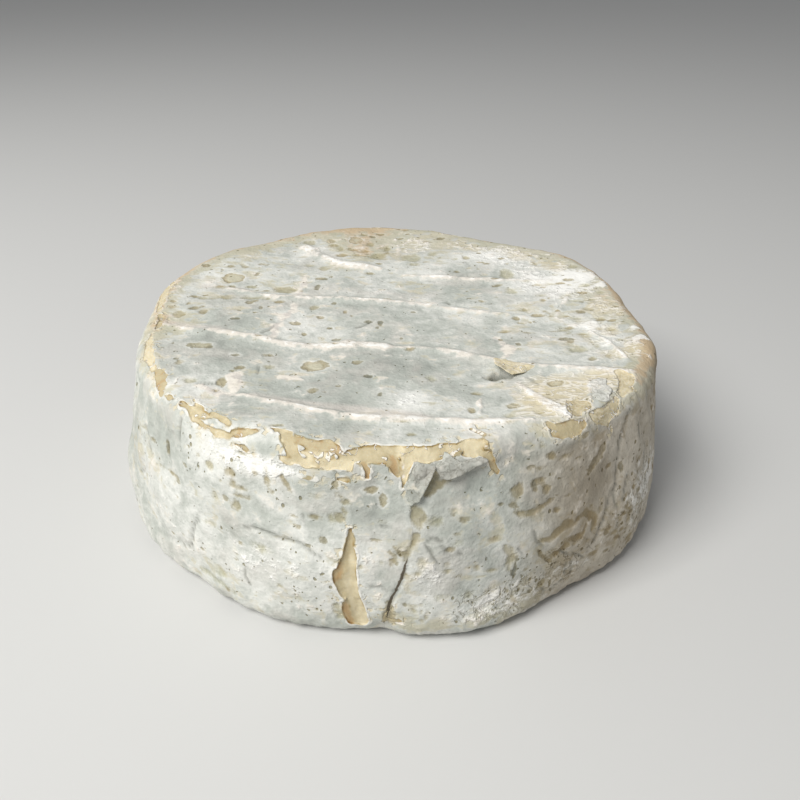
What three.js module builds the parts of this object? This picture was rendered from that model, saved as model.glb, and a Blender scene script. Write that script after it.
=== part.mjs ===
// A small soft-ripened cheese wheel with a bloomy rind, as one closed solid.
//
// Units are millimetres and +Z is up. The origin is the middle of the flat underside, and the
// side of the wall that is torn and cracked faces -Y. Directions round the wheel are in degrees
// from +X towards +Y, so the torn side is at 270.

import * as THREE from "three";

// ---- driving dimensions ---------------------------------------------------------------------

const HEIGHT = 34.5; // underside to the rim of the top face
const RIM_RADIUS = 50; // wall just under the rounded rim
const FOOT_RADIUS = 52; // wall just above the rounded foot, which has slumped outwards
const WALL_BULGE = 0.8; // extra radius half way down the wall
const RIM_ROUNDING = 3.5;
const FOOT_ROUNDING = 3.5;
const TOP_SAG = 1.3; // the top face sinks this much towards its middle

// Wires of the ripening rack left ridges across the top face, which bend where the cheese sagged.
const RIDGES = [
  [{ x: -39, y: 15 }, { x: -28, y: 9.3 }, { x: -18, y: 7.4 }, { x: -4, y: 6.6 }, { x: 8, y: 5 }, { x: 20, y: 0.4 }],
  [{ x: -43, y: -6.4 }, { x: -30, y: -9.5 }, { x: -15, y: -13.3 }, { x: 4, y: -14.2 }, { x: 15, y: -17.6 }],
  [{ x: 15, y: -17.6 }, { x: 24, y: -21.8 }, { x: 40, y: -25 }],
  [{ x: -20, y: 36 }, { x: -13, y: 28 }, { x: -4, y: 23.5 }, { x: 9, y: 18.8 }, { x: 20, y: 16.8 }, { x: 33, y: 16.2 }],
  [{ x: -26, y: -31.4 }, { x: -15, y: -35.5 }, { x: -3, y: -39 }, { x: 8, y: -40.4 }, { x: 21, y: -41 }],
];
const RIDGE_HEIGHT = 0.45;
const RIDGE_HALF_WIDTH = 1.3;

// Thickness of the white rind: how far the paste lies below it where it has peeled.
const RIND = 0.8;

// The uneven outline: each swell has a direction, a half width in degrees and a height.
const RIM_SWELLS = [
  { at: 4, wide: 16, out: -1.6 },
  { at: 34, wide: 14, out: 1.2 },
  { at: 62, wide: 18, out: -1.9 },
  { at: 98, wide: 18, out: 2.2 },
  { at: 150, wide: 20, out: 1.9 },
  { at: 158, wide: 9, out: -0.7 },
  { at: 184, wide: 18, out: -2.6 },
  { at: 212, wide: 18, out: -0.6 },
  { at: 262, wide: 30, out: -0.6 },
  { at: 326, wide: 14, out: 0.9 },
];
const FOOT_SWELLS = [
  { at: 0, wide: 14, out: -0.9 },
  { at: 140, wide: 14, out: -0.6 },
  { at: 160, wide: 14, out: 0.8 },
  { at: 181, wide: 13, out: -0.8 },
  { at: 203, wide: 12, out: 1.2 },
  { at: 222, wide: 11, out: 0.5 },
  { at: 256, wide: 9, out: 0.6 },
  { at: 284, wide: 11, out: 1.7 },
  { at: 318, wide: 14, out: 1.2 },
  { at: 337, wide: 12, out: 1.5 },
];

// Stretches of the rim where the rind has peeled off: how far the bare paste reaches in over
// the top face and down the wall.
const PEELS = [
  { from: 217, to: 263, inward: 2.4, down: 1.6 },
  { from: 260, to: 287, inward: 2.0, down: 3.6 },
  { from: 298, to: 330, inward: 2.8, down: 2.6 },
  { from: 84, to: 112, inward: 3.4, down: 1.8 },
  { from: 124, to: 172, inward: 1.6, down: 1.0 },
  { from: 20, to: 58, inward: 2.0, down: 1.6 },
];

// The tear in the wall: its middle line and half width, in degrees and millimetres up the wall.
const TEAR = [
  { z: 22.8, at: 263.2, half: 0.2 },
  { z: 18.4, at: 263.1, half: 0.9 },
  { z: 14.0, at: 262.2, half: 1.9 },
  { z: 7.4, at: 263.0, half: 2.0 },
  { z: 3.2, at: 263.4, half: 2.3 },
];
const TEAR_DEPTH = 1.4;

// The crack runs down the wall from the rim. Its left bank has lifted over its right bank.
const CRACK = [
  { z: 33.0, at: 277.0 },
  { z: 26.5, at: 274.2 },
  { z: 22.7, at: 273.4 },
  { z: 15.9, at: 271.6 },
  { z: 9.0, at: 268.9 },
  { z: 3.5, at: 268.6 },
];
const CRACK_LIFT = 0.9;
const CRACK_DEPTH = 0.8;
const CRACK_HALF_WIDTH = 0.9;
const LIFT_REACH = 6; // the lifted bank blends into the wall over this distance
const NOTCH = { at: 268.6, wide: 3, deep: 1.6, up: 6 }; // where the crack leaves the foot

// Flaps of rind beside the top of the crack, curled off the paste, and the hollow between them.
const FLAPS = [
  { at: 274.2, z: 29.4, across: 2.3, up: 3.6, lift: 0.8 },
  { at: 281.5, z: 32.2, across: 4.2, up: 1.5, lift: 0.7 },
  { at: 278.4, z: 29.6, across: 1.8, up: 1.6, lift: -0.9 },
];

// Folds in the rind of the wall, each a groove along a line of places on it.
const FOLDS = [
  [{ at: 243, z: 19.4 }, { at: 251.7, z: 19 }, { at: 258.7, z: 16.5 }],
  [{ at: 233.3, z: 16 }, { at: 229.8, z: 9.3 }, { at: 224.4, z: 8.2 }],
  [{ at: 320.6, z: 29.9 }, { at: 316.7, z: 26 }, { at: 315.4, z: 17.3 }, { at: 307, z: 9.8 }],
  [{ at: 60, z: 27 }, { at: 66, z: 17 }, { at: 78, z: 11 }],
  [{ at: 118, z: 8 }, { at: 131, z: 14 }, { at: 141, z: 13 }],
];
const FOLD_DEPTH = 0.6;
const FOLD_HALF_WIDTH = 1.0;

// A corner of rind laps out over the rim, and a crater has sunk into the top face.
const LAPPED_CORNER = { at: 341, wide: 6, out: 0.8 };
const CRATER = { x: 18.2, y: -23.8, across: 4, deep: 1.1 };

// Mesh: rings on the top face, segments round the wall, and rows down each rounding and the wall.
const TOP_RINGS = 25;
const SEGMENTS = 6 * TOP_RINGS;
const ROUNDING_ROWS = 3;
const WALL_ROWS = 13;
const TORN_SIDE = CRACK[CRACK.length - 1].at; // segments crowd together here
const CROWDING = 0.55;
const LEAN_REACH = 22; // degrees to each side over which the segments lean with the crack

// ---- small helpers --------------------------------------------------------------------------

const TURN = 2 * Math.PI;
const rad = THREE.MathUtils.degToRad;
const { lerp, smoothstep, clamp } = THREE.MathUtils;

/** Signed difference between two directions, in degrees. */
const turnBetween = (a, b) => ((((a - b) % 360) + 540) % 360) - 180;

const bell = (x) => Math.exp(-x * x);

/** The swells at one direction, added together. */
const swellAt = (swells, angle) =>
  swells.reduce((sum, s) => sum + s.out * bell(turnBetween(angle, s.at) / s.wide), 0);

/** Rolling unevenness with the given wavelength, between about -1 and 1. */
function lumps(p, wavelength, start) {
  const golden = Math.PI * (3 - Math.sqrt(5));
  const waves = 6;
  let sum = 0;
  for (let i = 0; i < waves; i++) {
    const up = 1 - (2 * (i + 0.5)) / waves;
    const flat = Math.sqrt(1 - up * up);
    const turn = golden * (i + start);
    const along = p.x * flat * Math.cos(turn) + p.y * flat * Math.sin(turn) + p.z * up;
    sum += Math.sin((TURN * along) / (wavelength * (1 + 0.13 * i)) + 2.4 * i + start);
  }
  return sum / Math.sqrt(waves * 1.5);
}

/** A value of a line of places, read at one height on the wall. */
function atHeight(line, z, key) {
  if (z >= line[0].z) return line[0][key];
  for (let i = 1; i < line.length; i++) {
    const [upper, lower] = [line[i - 1], line[i]];
    if (z >= lower.z) return lerp(lower[key], upper[key], (z - lower.z) / (upper.z - lower.z));
  }
  return line[line.length - 1][key];
}

/** Distance from a flat point to a line of flat points. */
function distanceToLine(x, y, line) {
  let nearest = Infinity;
  for (let i = 1; i < line.length; i++) {
    const [a, b] = [line[i - 1], line[i]];
    const [ax, ay, bx, by] = [x - a.x, y - a.y, b.x - a.x, b.y - a.y];
    const t = clamp((ax * bx + ay * by) / (bx * bx + by * by), 0, 1);
    nearest = Math.min(nearest, Math.hypot(ax - t * bx, ay - t * by));
  }
  return nearest;
}

/** Distance on the unrolled wall from one place to a line of places. */
function distanceOnWall(angle, z, line) {
  const arc = rad(1) * RIM_RADIUS;
  return distanceToLine(0, z, line.map((node) => ({ x: turnBetween(node.at, angle) * arc, y: node.z })));
}

// ---- the smooth body ------------------------------------------------------------------------

const rimRadius = (angle) => RIM_RADIUS + swellAt(RIM_SWELLS, angle);
const footRadius = (angle) => FOOT_RADIUS + swellAt(FOOT_SWELLS, angle);

/** Place on the top face, t from 0 in its middle to 1 where the rounding starts. */
function onTop(angle, t) {
  const edge = rimRadius(angle) - RIM_ROUNDING;
  const fromRim = -edge * (1 - t) - (RIM_ROUNDING * Math.PI) / 4;
  return { angle, r: edge * t, z: HEIGHT - TOP_SAG * (1 - t * t), tilt: Math.PI / 2, fromRim };
}

/** Place on the rounded rim, t from 0 at the top face to 1 at the wall. */
function onRim(angle, t) {
  const tilt = (Math.PI / 2) * (1 - t);
  return {
    angle,
    r: rimRadius(angle) - RIM_ROUNDING * (1 - Math.cos(tilt)),
    z: HEIGHT - RIM_ROUNDING * (1 - Math.sin(tilt)),
    tilt,
    fromRim: RIM_ROUNDING * (Math.PI / 4 - tilt),
  };
}

/** Place on the wall, t from 0 under the rim to 1 above the foot. */
function onWall(angle, t) {
  const z = lerp(HEIGHT - RIM_ROUNDING, FOOT_ROUNDING, t);
  const r = lerp(rimRadius(angle), footRadius(angle), t) + WALL_BULGE * Math.sin(Math.PI * t);
  return { angle, r, z, tilt: 0, fromRim: HEIGHT - z - RIM_ROUNDING * (1 - Math.PI / 4) };
}

/** Place on the rounded foot, t from 0 at the wall to 1 at the underside. */
function onFoot(angle, t) {
  const tilt = (-Math.PI / 2) * t;
  return {
    angle,
    r: footRadius(angle) - FOOT_ROUNDING * (1 - Math.cos(tilt)),
    z: FOOT_ROUNDING * (1 + Math.sin(tilt)),
    tilt,
    fromRim: HEIGHT,
  };
}

// ---- relief: how far the surface stands out of the smooth body -------------------------------

function rackRidges(x, y) {
  const off = Math.min(...RIDGES.map((line) => distanceToLine(x, y, line)));
  return RIDGE_HEIGHT * bell(off / RIDGE_HALF_WIDTH);
}

/** 1 where the rim's rind has peeled off, falling to 0 over the ragged edge of what is left. */
function peeled(place, p) {
  const ragged = 1 + 0.45 * lumps(p, 6.5, 3);
  let most = 0;
  for (const { from, to, inward, down } of PEELS) {
    const middle = (from + to) / 2;
    const reach = 1 - Math.abs(turnBetween(place.angle, middle)) / ((to - from) / 2);
    if (reach <= 0) continue;
    const ends = Math.sqrt(Math.min(1, 4 * reach)) * ragged;
    const limit = place.fromRim < 0 ? inward * ends : down * ends;
    most = Math.max(most, 1 - smoothstep(Math.abs(place.fromRim), limit - 0.4, limit + 0.5));
  }
  return most;
}

function tear(place) {
  const { angle, z } = place;
  const top = TEAR[0].z;
  if (z > top) return 0;
  const side = Math.abs(turnBetween(angle, atHeight(TEAR, z, "at"))) * rad(1) * FOOT_RADIUS;
  const half = atHeight(TEAR, z, "half");
  const foot = smoothstep(z, 0.5, FOOT_ROUNDING);
  return -TEAR_DEPTH * foot * (1 - smoothstep(side, half - 0.4, half + 0.6));
}

function crack(place) {
  const { angle, z } = place;
  const side = turnBetween(angle, atHeight(CRACK, z, "at")) * rad(1) * FOOT_RADIUS;
  const ends = smoothstep(z, 2, 6);
  const lift = side < 0 ? CRACK_LIFT * bell(side / LIFT_REACH) : 0;
  return ends * (lift - CRACK_DEPTH * bell((side - 0.5) / CRACK_HALF_WIDTH));
}

function notch(place) {
  const side = turnBetween(place.angle, NOTCH.at) / NOTCH.wide;
  return -NOTCH.deep * bell(side) * (1 - smoothstep(place.z, 2, NOTCH.up));
}

const flaps = (place) =>
  FLAPS.reduce((sum, flap) => {
    const side = (turnBetween(place.angle, flap.at) * rad(1) * RIM_RADIUS) / flap.across;
    const up = (place.z - flap.z) / flap.up;
    return sum + flap.lift * bell(Math.hypot(side, up) ** 2);
  }, 0);

const folds = (place) =>
  FOLDS.reduce((sum, line) => {
    const off = distanceOnWall(place.angle, place.z, line) / FOLD_HALF_WIDTH;
    return sum - FOLD_DEPTH * bell(off);
  }, 0);

/** Small upright wrinkles where the wall has dried on its left. */
function wrinkles(place) {
  const where = bell(turnBetween(place.angle, 208) / 18);
  return 0.3 * where * Math.sin(rad(place.angle * 14) + 0.25 * place.z);
}

/** All relief at one place of the smooth body. */
function relief(place, p) {
  const upward = Math.max(0, Math.sin(place.tilt));
  const sideways = Math.cos(place.tilt);
  const nearRim = Math.abs(place.fromRim) / RIM_ROUNDING;
  const corner = bell(turnBetween(place.angle, LAPPED_CORNER.at) / LAPPED_CORNER.wide);
  const crater = bell(Math.hypot(p.x - CRATER.x, p.y - CRATER.y) / (CRATER.across / 2));
  const top = rackRidges(p.x, p.y) + 0.3 * lumps(p, 17, 1) - CRATER.deep * crater;
  const torn = tear(place) + crack(place) + flaps(place) + notch(place);
  const wall = torn + folds(place) + wrinkles(place);
  return (
    upward * top +
    sideways * (wall + 0.4 * lumps(p, 15, 5)) +
    LAPPED_CORNER.out * corner * bell(nearRim) -
    RIND * peeled(place, p)
  );
}

/** The finished surface at one place of the smooth body. */
function surfacePoint(place) {
  const turn = rad(place.angle);
  const p = new THREE.Vector3(place.r * Math.cos(turn), place.r * Math.sin(turn), place.z);
  const h = relief(place, p);
  const out = h * Math.cos(place.tilt);
  p.x += out * Math.cos(turn);
  p.y += out * Math.sin(turn);
  p.z = Math.max(0, p.z + h * Math.sin(place.tilt));
  return p;
}

// ---- the closed mesh ------------------------------------------------------------------------

/** Direction of one segment, with the segments closer together on the torn side. */
function segmentAngle(part, crowding) {
  const angle = 360 * part + TORN_SIDE;
  return angle - (crowding * 360 * Math.sin(TURN * part)) / TURN;
}

/** The same direction moved round, so that the segments on the torn side lean with the crack. */
function lean(angle, z) {
  const shift = atHeight(CRACK, z, "at") - TORN_SIDE;
  return angle + shift * bell(turnBetween(angle, TORN_SIDE) / LEAN_REACH);
}

function wheelGeometry() {
  const points = [];
  const faces = [];
  const addRing = (count, place, crowding, height = 0) => {
    const first = points.length;
    for (let i = 0; i < count; i++) {
      points.push(place(lean(segmentAngle(i / count, crowding), height)));
    }
    return first;
  };

  // Top face: ring k has 6k points, so its triangles stay close to equal.
  const middle = addRing(1, () => surfacePoint(onTop(0, 0)), 0);
  let inner = middle;
  for (let k = 1; k <= TOP_RINGS; k++) {
    const t = k / TOP_RINGS;
    const ring = (angle) => surfacePoint(onTop(angle, t));
    const outer = addRing(6 * k, ring, CROWDING * t * t, HEIGHT * t * t);
    for (let sector = 0; sector < 6; sector++) {
      for (let i = 0; i < k; i++) {
        const a = inner + (k === 1 ? 0 : (sector * (k - 1) + i) % (6 * (k - 1)));
        const b = outer + sector * k + i;
        const c = outer + ((sector * k + i + 1) % (6 * k));
        faces.push(a, b, c);
        if (i < k - 1) {
          const d = inner + ((sector * (k - 1) + i + 1) % (6 * (k - 1)));
          faces.push(a, c, d);
        }
      }
    }
    inner = outer;
  }

  // Rim, wall and foot: rows of equal rings.
  const rows = [];
  for (let i = 1; i <= ROUNDING_ROWS; i++) rows.push((angle) => onRim(angle, i / ROUNDING_ROWS));
  for (let i = 1; i <= WALL_ROWS; i++) rows.push((angle) => onWall(angle, i / WALL_ROWS));
  for (let i = 1; i <= ROUNDING_ROWS; i++) rows.push((angle) => onFoot(angle, i / ROUNDING_ROWS));
  for (const row of rows) {
    const outer = addRing(SEGMENTS, (angle) => surfacePoint(row(angle)), CROWDING, row(0).z);
    for (let i = 0; i < SEGMENTS; i++) {
      const next = (i + 1) % SEGMENTS;
      faces.push(inner + i, outer + i, outer + next, inner + i, outer + next, inner + next);
    }
    inner = outer;
  }

  // Flat underside: rings with fewer and fewer points, then the middle.
  let count = SEGMENTS;
  for (const [step, share] of [[2, 0.8], [3, 0.4]]) {
    const fewer = count / step;
    const place = (angle) => {
      const edge = footRadius(angle) - FOOT_ROUNDING;
      return new THREE.Vector3(edge * Math.cos(rad(angle)), edge * Math.sin(rad(angle)), 0)
        .multiplyScalar(share);
    };
    const ring = addRing(fewer, place, CROWDING);
    for (let i = 0; i < fewer; i++) {
      const next = ring + ((i + 1) % fewer);
      for (let j = 0; j < step; j++) {
        faces.push(inner + i * step + j, ring + i, inner + ((i * step + j + 1) % count));
      }
      faces.push(ring + i, next, inner + ((i * step + step) % count));
    }
    inner = ring;
    count = fewer;
  }
  const base = points.push(new THREE.Vector3(0, 0, 0)) - 1;
  for (let i = 0; i < count; i++) faces.push(inner + i, base, inner + ((i + 1) % count));

  const geometry = new THREE.BufferGeometry().setFromPoints(points);
  geometry.setIndex(faces);
  geometry.computeBoundingBox();
  const centre = geometry.boundingBox.getCenter(new THREE.Vector3());
  geometry.translate(-centre.x, -centre.y, 0);
  geometry.computeVertexNormals();
  return geometry;
}

// ---- the part -------------------------------------------------------------------------------

function cheeseWheel() {
  const bloomyRind = new THREE.MeshStandardMaterial({
    color: 0xc9cac4,
    roughness: 0.85,
    metalness: 0,
  });
  const wheel = new THREE.Mesh(wheelGeometry(), bloomyRind);
  wheel.name = "cheese_wheel";
  return wheel;
}

const part = new THREE.Group();
part.add(cheeseWheel());

export default part;
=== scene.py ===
"""A small soft-ripened cheese wheel: bloomy rind, bare paste where it has peeled, and a studio.

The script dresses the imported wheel. Sizes in its own functions are millimetres, and become metres
when a mesh is made. Directions round the wheel are degrees from +X towards +Y, so the torn side
is at 270. "Down" is the distance from the middle of the rounded rim: down the wall where it is
positive, and inwards over the top face where it is negative.
"""

import math
from operator import itemgetter

import bpy
import numpy as np
from bpy.props import FloatProperty, FloatVectorProperty, IntProperty, PointerProperty
from mathutils import Matrix, Vector


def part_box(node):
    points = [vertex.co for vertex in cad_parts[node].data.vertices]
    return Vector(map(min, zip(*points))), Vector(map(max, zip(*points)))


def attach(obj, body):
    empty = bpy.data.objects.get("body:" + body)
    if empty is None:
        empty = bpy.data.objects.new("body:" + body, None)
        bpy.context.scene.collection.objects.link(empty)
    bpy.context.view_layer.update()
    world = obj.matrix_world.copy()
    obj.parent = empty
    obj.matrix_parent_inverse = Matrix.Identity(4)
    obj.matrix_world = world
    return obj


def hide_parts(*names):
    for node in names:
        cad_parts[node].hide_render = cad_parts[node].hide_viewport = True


bl_info = {
    "name": "Cheese Wheel",
    "version": (1, 0, 0),
    "blender": (4, 5, 0),
    "location": "View3D > Sidebar > Food",
    "description": "Builds a soft-ripened cheese wheel with a bloomy rind around the packed part",
    "category": "Add Mesh",
}

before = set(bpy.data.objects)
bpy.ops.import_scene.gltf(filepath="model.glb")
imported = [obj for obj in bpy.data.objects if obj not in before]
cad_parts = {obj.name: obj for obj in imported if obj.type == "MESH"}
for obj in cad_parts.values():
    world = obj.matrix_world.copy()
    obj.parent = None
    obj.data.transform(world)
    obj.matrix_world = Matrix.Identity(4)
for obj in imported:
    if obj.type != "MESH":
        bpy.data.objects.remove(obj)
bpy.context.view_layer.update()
NODE = "cheese_wheel"
NODE_LOW, NODE_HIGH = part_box(NODE)

MM = 0.001

# ---- the wheel's form ------------------------------------------------------------------------
# The body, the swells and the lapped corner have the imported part's sizes. The crack and the
# notch are finer here than they are there.

HEIGHT = 34.5
RIM_RADIUS = 50.0
FOOT_RADIUS = 52.0
WALL_BULGE = 0.8
RIM_ROUNDING = 3.5
FOOT_ROUNDING = 3.5
TOP_SAG = 1.3
QUARTER = RIM_ROUNDING * math.pi / 4  # from the middle of the rounding to either end of it
WALL_START = RIM_ROUNDING * (1 - math.pi / 4)  # a place's down is HEIGHT - z less this, on the wall

# Uneven outline: direction, half width in degrees, height.
RIM_SWELLS = [
    (4, 16, -1.6), (34, 14, 1.2), (62, 18, -1.9), (98, 18, 2.2), (150, 20, 1.9), (158, 9, -0.7),
    (184, 18, -2.6), (212, 18, -0.6), (262, 30, -0.6), (326, 14, 0.9),
]
FOOT_SWELLS = [
    (0, 14, -0.9), (140, 14, -0.6), (160, 14, 0.8), (181, 13, -0.8), (203, 12, 1.2), (222, 11, 0.5),
    (256, 9, 0.6), (284, 11, 1.7), (318, 14, 1.2), (337, 12, 1.5),
]

# Hollows left in the underside by the wires of the ripening rack.
RACK_PITCH = 20.0
RACK_FIRST = 1.7
RACK_TURN = -13.5
RACK_HALF_WIDTH = 1.2

# The crack runs down the wall: height, direction. Its left bank has lifted over its right bank. Where it is
# open, its line is painted dark as painted shadow.
CRACK = [
    (33.0, 277.0), (28.5, 275.3), (26.8, 274.6), (25.4, 273.4), (23.6, 273.3), (20.4, 273.3),
    (17.8, 272.6), (13.2, 271.4), (9.5, 269.8), (3.5, 268.6),
]
CRACK_LIFT = 0.35
CRACK_DEPTH = 0.45
CRACK_HALF_WIDTH = 0.14
CRACK_OPEN_BELOW = 15
CRACK_SHUT_ABOVE = 18.5
LIFT_REACH = 6.0
NOTCH_AT = 268.6
NOTCH_WIDE = 1.8
NOTCH_DEEP = 0.9
NOTCH_UP = 6.0

LAPPED_CORNER_AT = 341
LAPPED_CORNER_WIDE = 6
LAPPED_CORNER_OUT = 0.8

# Stretches of the wall with a character of their own: direction, half width in degrees.
LEFT_FOLDS_AT = 210
LEFT_FOLDS_WIDE = 20
RIGHT_FOLDS_AT = 328
RIGHT_FOLDS_WIDE = 18
# The dry side's rind is browner. There, and on the far side, the rind is also painted darker as painted
# shade.
DRY_SIDE_AT = 300
FAR_SIDE_AT = 90
FAR_SIDE_WIDE = 60

# ---- marks on the wheel ----------------------------------------------------------------------
# A stroke is a run of places with a half width at each. Round the rim and on the wall a place is
# (direction, down), and on the top face it is (x, y).

# Ridges left on the top face by the wires of the ripening rack.
RIDGES = [
    [(-39, 15, 0.1), (-33, 11.6, 0.3), (-28, 9.3, 0.6), (-23, 8.1, 0.8), (-18, 7.4, 1.1),
     (-12, 7.4, 0.6), (-4, 6.6, 0.9), (2, 6, 0.5), (9, 4.8, 0.1)],
    [(8, 3.9, 0), (13, 2.3, 0.6), (17, 1.2, 0.4), (20, 0.4, 0.5), (26, -1, 0)],
    [(-43, -6.4, 0.2), (-36, -8.2, 0.6), (-30, -9.5, 0.8), (-24, -11, 1), (-20, -12.6, 1),
     (-15, -13.4, 1), (-11, -13.4, 1.2), (-8, -12.7, 1.7), (-4, -13.2, 1.4), (-1, -13.9, 1)],
    [(-1, -14, 0.4), (5, -14.2, 0.5), (10, -15.2, 0.8), (15, -17.6, 0.8), (18, -19.4, 0.6)],
    [(22, -21.2, 0.2), (26, -22.6, 0.5), (32, -23.6, 0.8), (36, -24.3, 0.9), (40, -25, 0.5)],
    [(3, 20, 0.3), (9, 18.9, 0.7), (14, 17.8, 0.6), (18, 16.8, 1), (21, 16.6, 1.2), (25, 16.4, 0.9),
     (29, 16.4, 0.4), (34, 16.2, 0)],
    [(-20, 36, 1), (-18, 33, 1.4), (-16, 30.5, 1.2), (-12, 27, 1), (-9, 25.6, 1.4), (-5, 24.4, 1.2),
     (-2, 23.4, 0.3)],
    [(-24, -32, 0.2), (-20, -34, 0.6), (-15, -35.8, 0.7), (-10, -37.6, 0.8), (-5, -39, 0.8),
     (0, -39.6, 1.2), (6, -40, 0.7), (12, -40.8, 0.9), (17, -41, 0.9), (21, -41.2, 0.4)],
]
# The pinkish band that runs beside a ridge.
BANDS = [
    [(-22, -31.6, 0.4), (-15, -34, 1), (-8, -36, 1.2), (0, -37.6, 1.2), (6, -38.6, 0.5)],
    [(-43.5, -5.2, 0.9), (-38, -6.6, 1), (-30, -8.2, 0.4)],
    [(-39, 13, 0.8), (-34, 12.6, 0.8), (-30, 11.4, 0.4)],
]
# Raised threads of rind on the top face.
RAISED_THREADS = [
    [(21.3, -28.8, 0.5), (22.3, -31.5, 0.7), (23.5, -33.9, 0.9), (24.9, -36.5, 1.2),
     (26.2, -38, 1.5)],
    [(20.8, -27.8, 0.1), (22, -30.6, 0.3), (22.6, -32.4, 0.1)],
    [(37, -8.4, 0.3), (39, -13, 0.5), (40, -17, 0.6), (40.8, -20.6, 0.4)],
    [(36.6, 9.4, 0.4), (35, 5, 0.5), (33, 1.6, 0.3), (31.8, -2.6, 0.1)],
    [(0.4, 45, 0.1), (1.4, 39, 0.2), (1.6, 33, 0)],
    [(5, 43.4, 0.2), (2.6, 37.6, 0.2), (1.6, 33, 0)],
    [(14.2, -33.2, 0.2), (13.6, -34.6, 0.4), (14, -35.8, 0.25), (13.4, -38, 0.35)],
    [(31.4, -34.4, 0.2), (32, -31, 0.3), (32.8, -27.8, 0.3)],
]
# Cream smears on the top face.
SMEARS = [
    [(-18.6, 19.6, 0.6), (-18.6, 14, 0.9), (-19.2, 8.4, 0.8)],
    [(-19.4, 5.4, 0.5), (-19.2, 2, 0.8), (-20.6, -1.4, 1), (-21.6, -5, 1.1), (-22, -9.6, 1)],
    [(-26.6, -25, 1.4), (-25.4, -30, 1.2)],
    [(-19, -25, 0.8), (-15.6, -25.8, 0.9)],
    [(-31, -29, 1), (-27.6, -31.2, 1.2), (-22, -32.4, 0.6)],
    [(19.6, -10.4, 1), (21, -15, 1.4), (20.4, -18.4, 0.8)],
]

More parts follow.
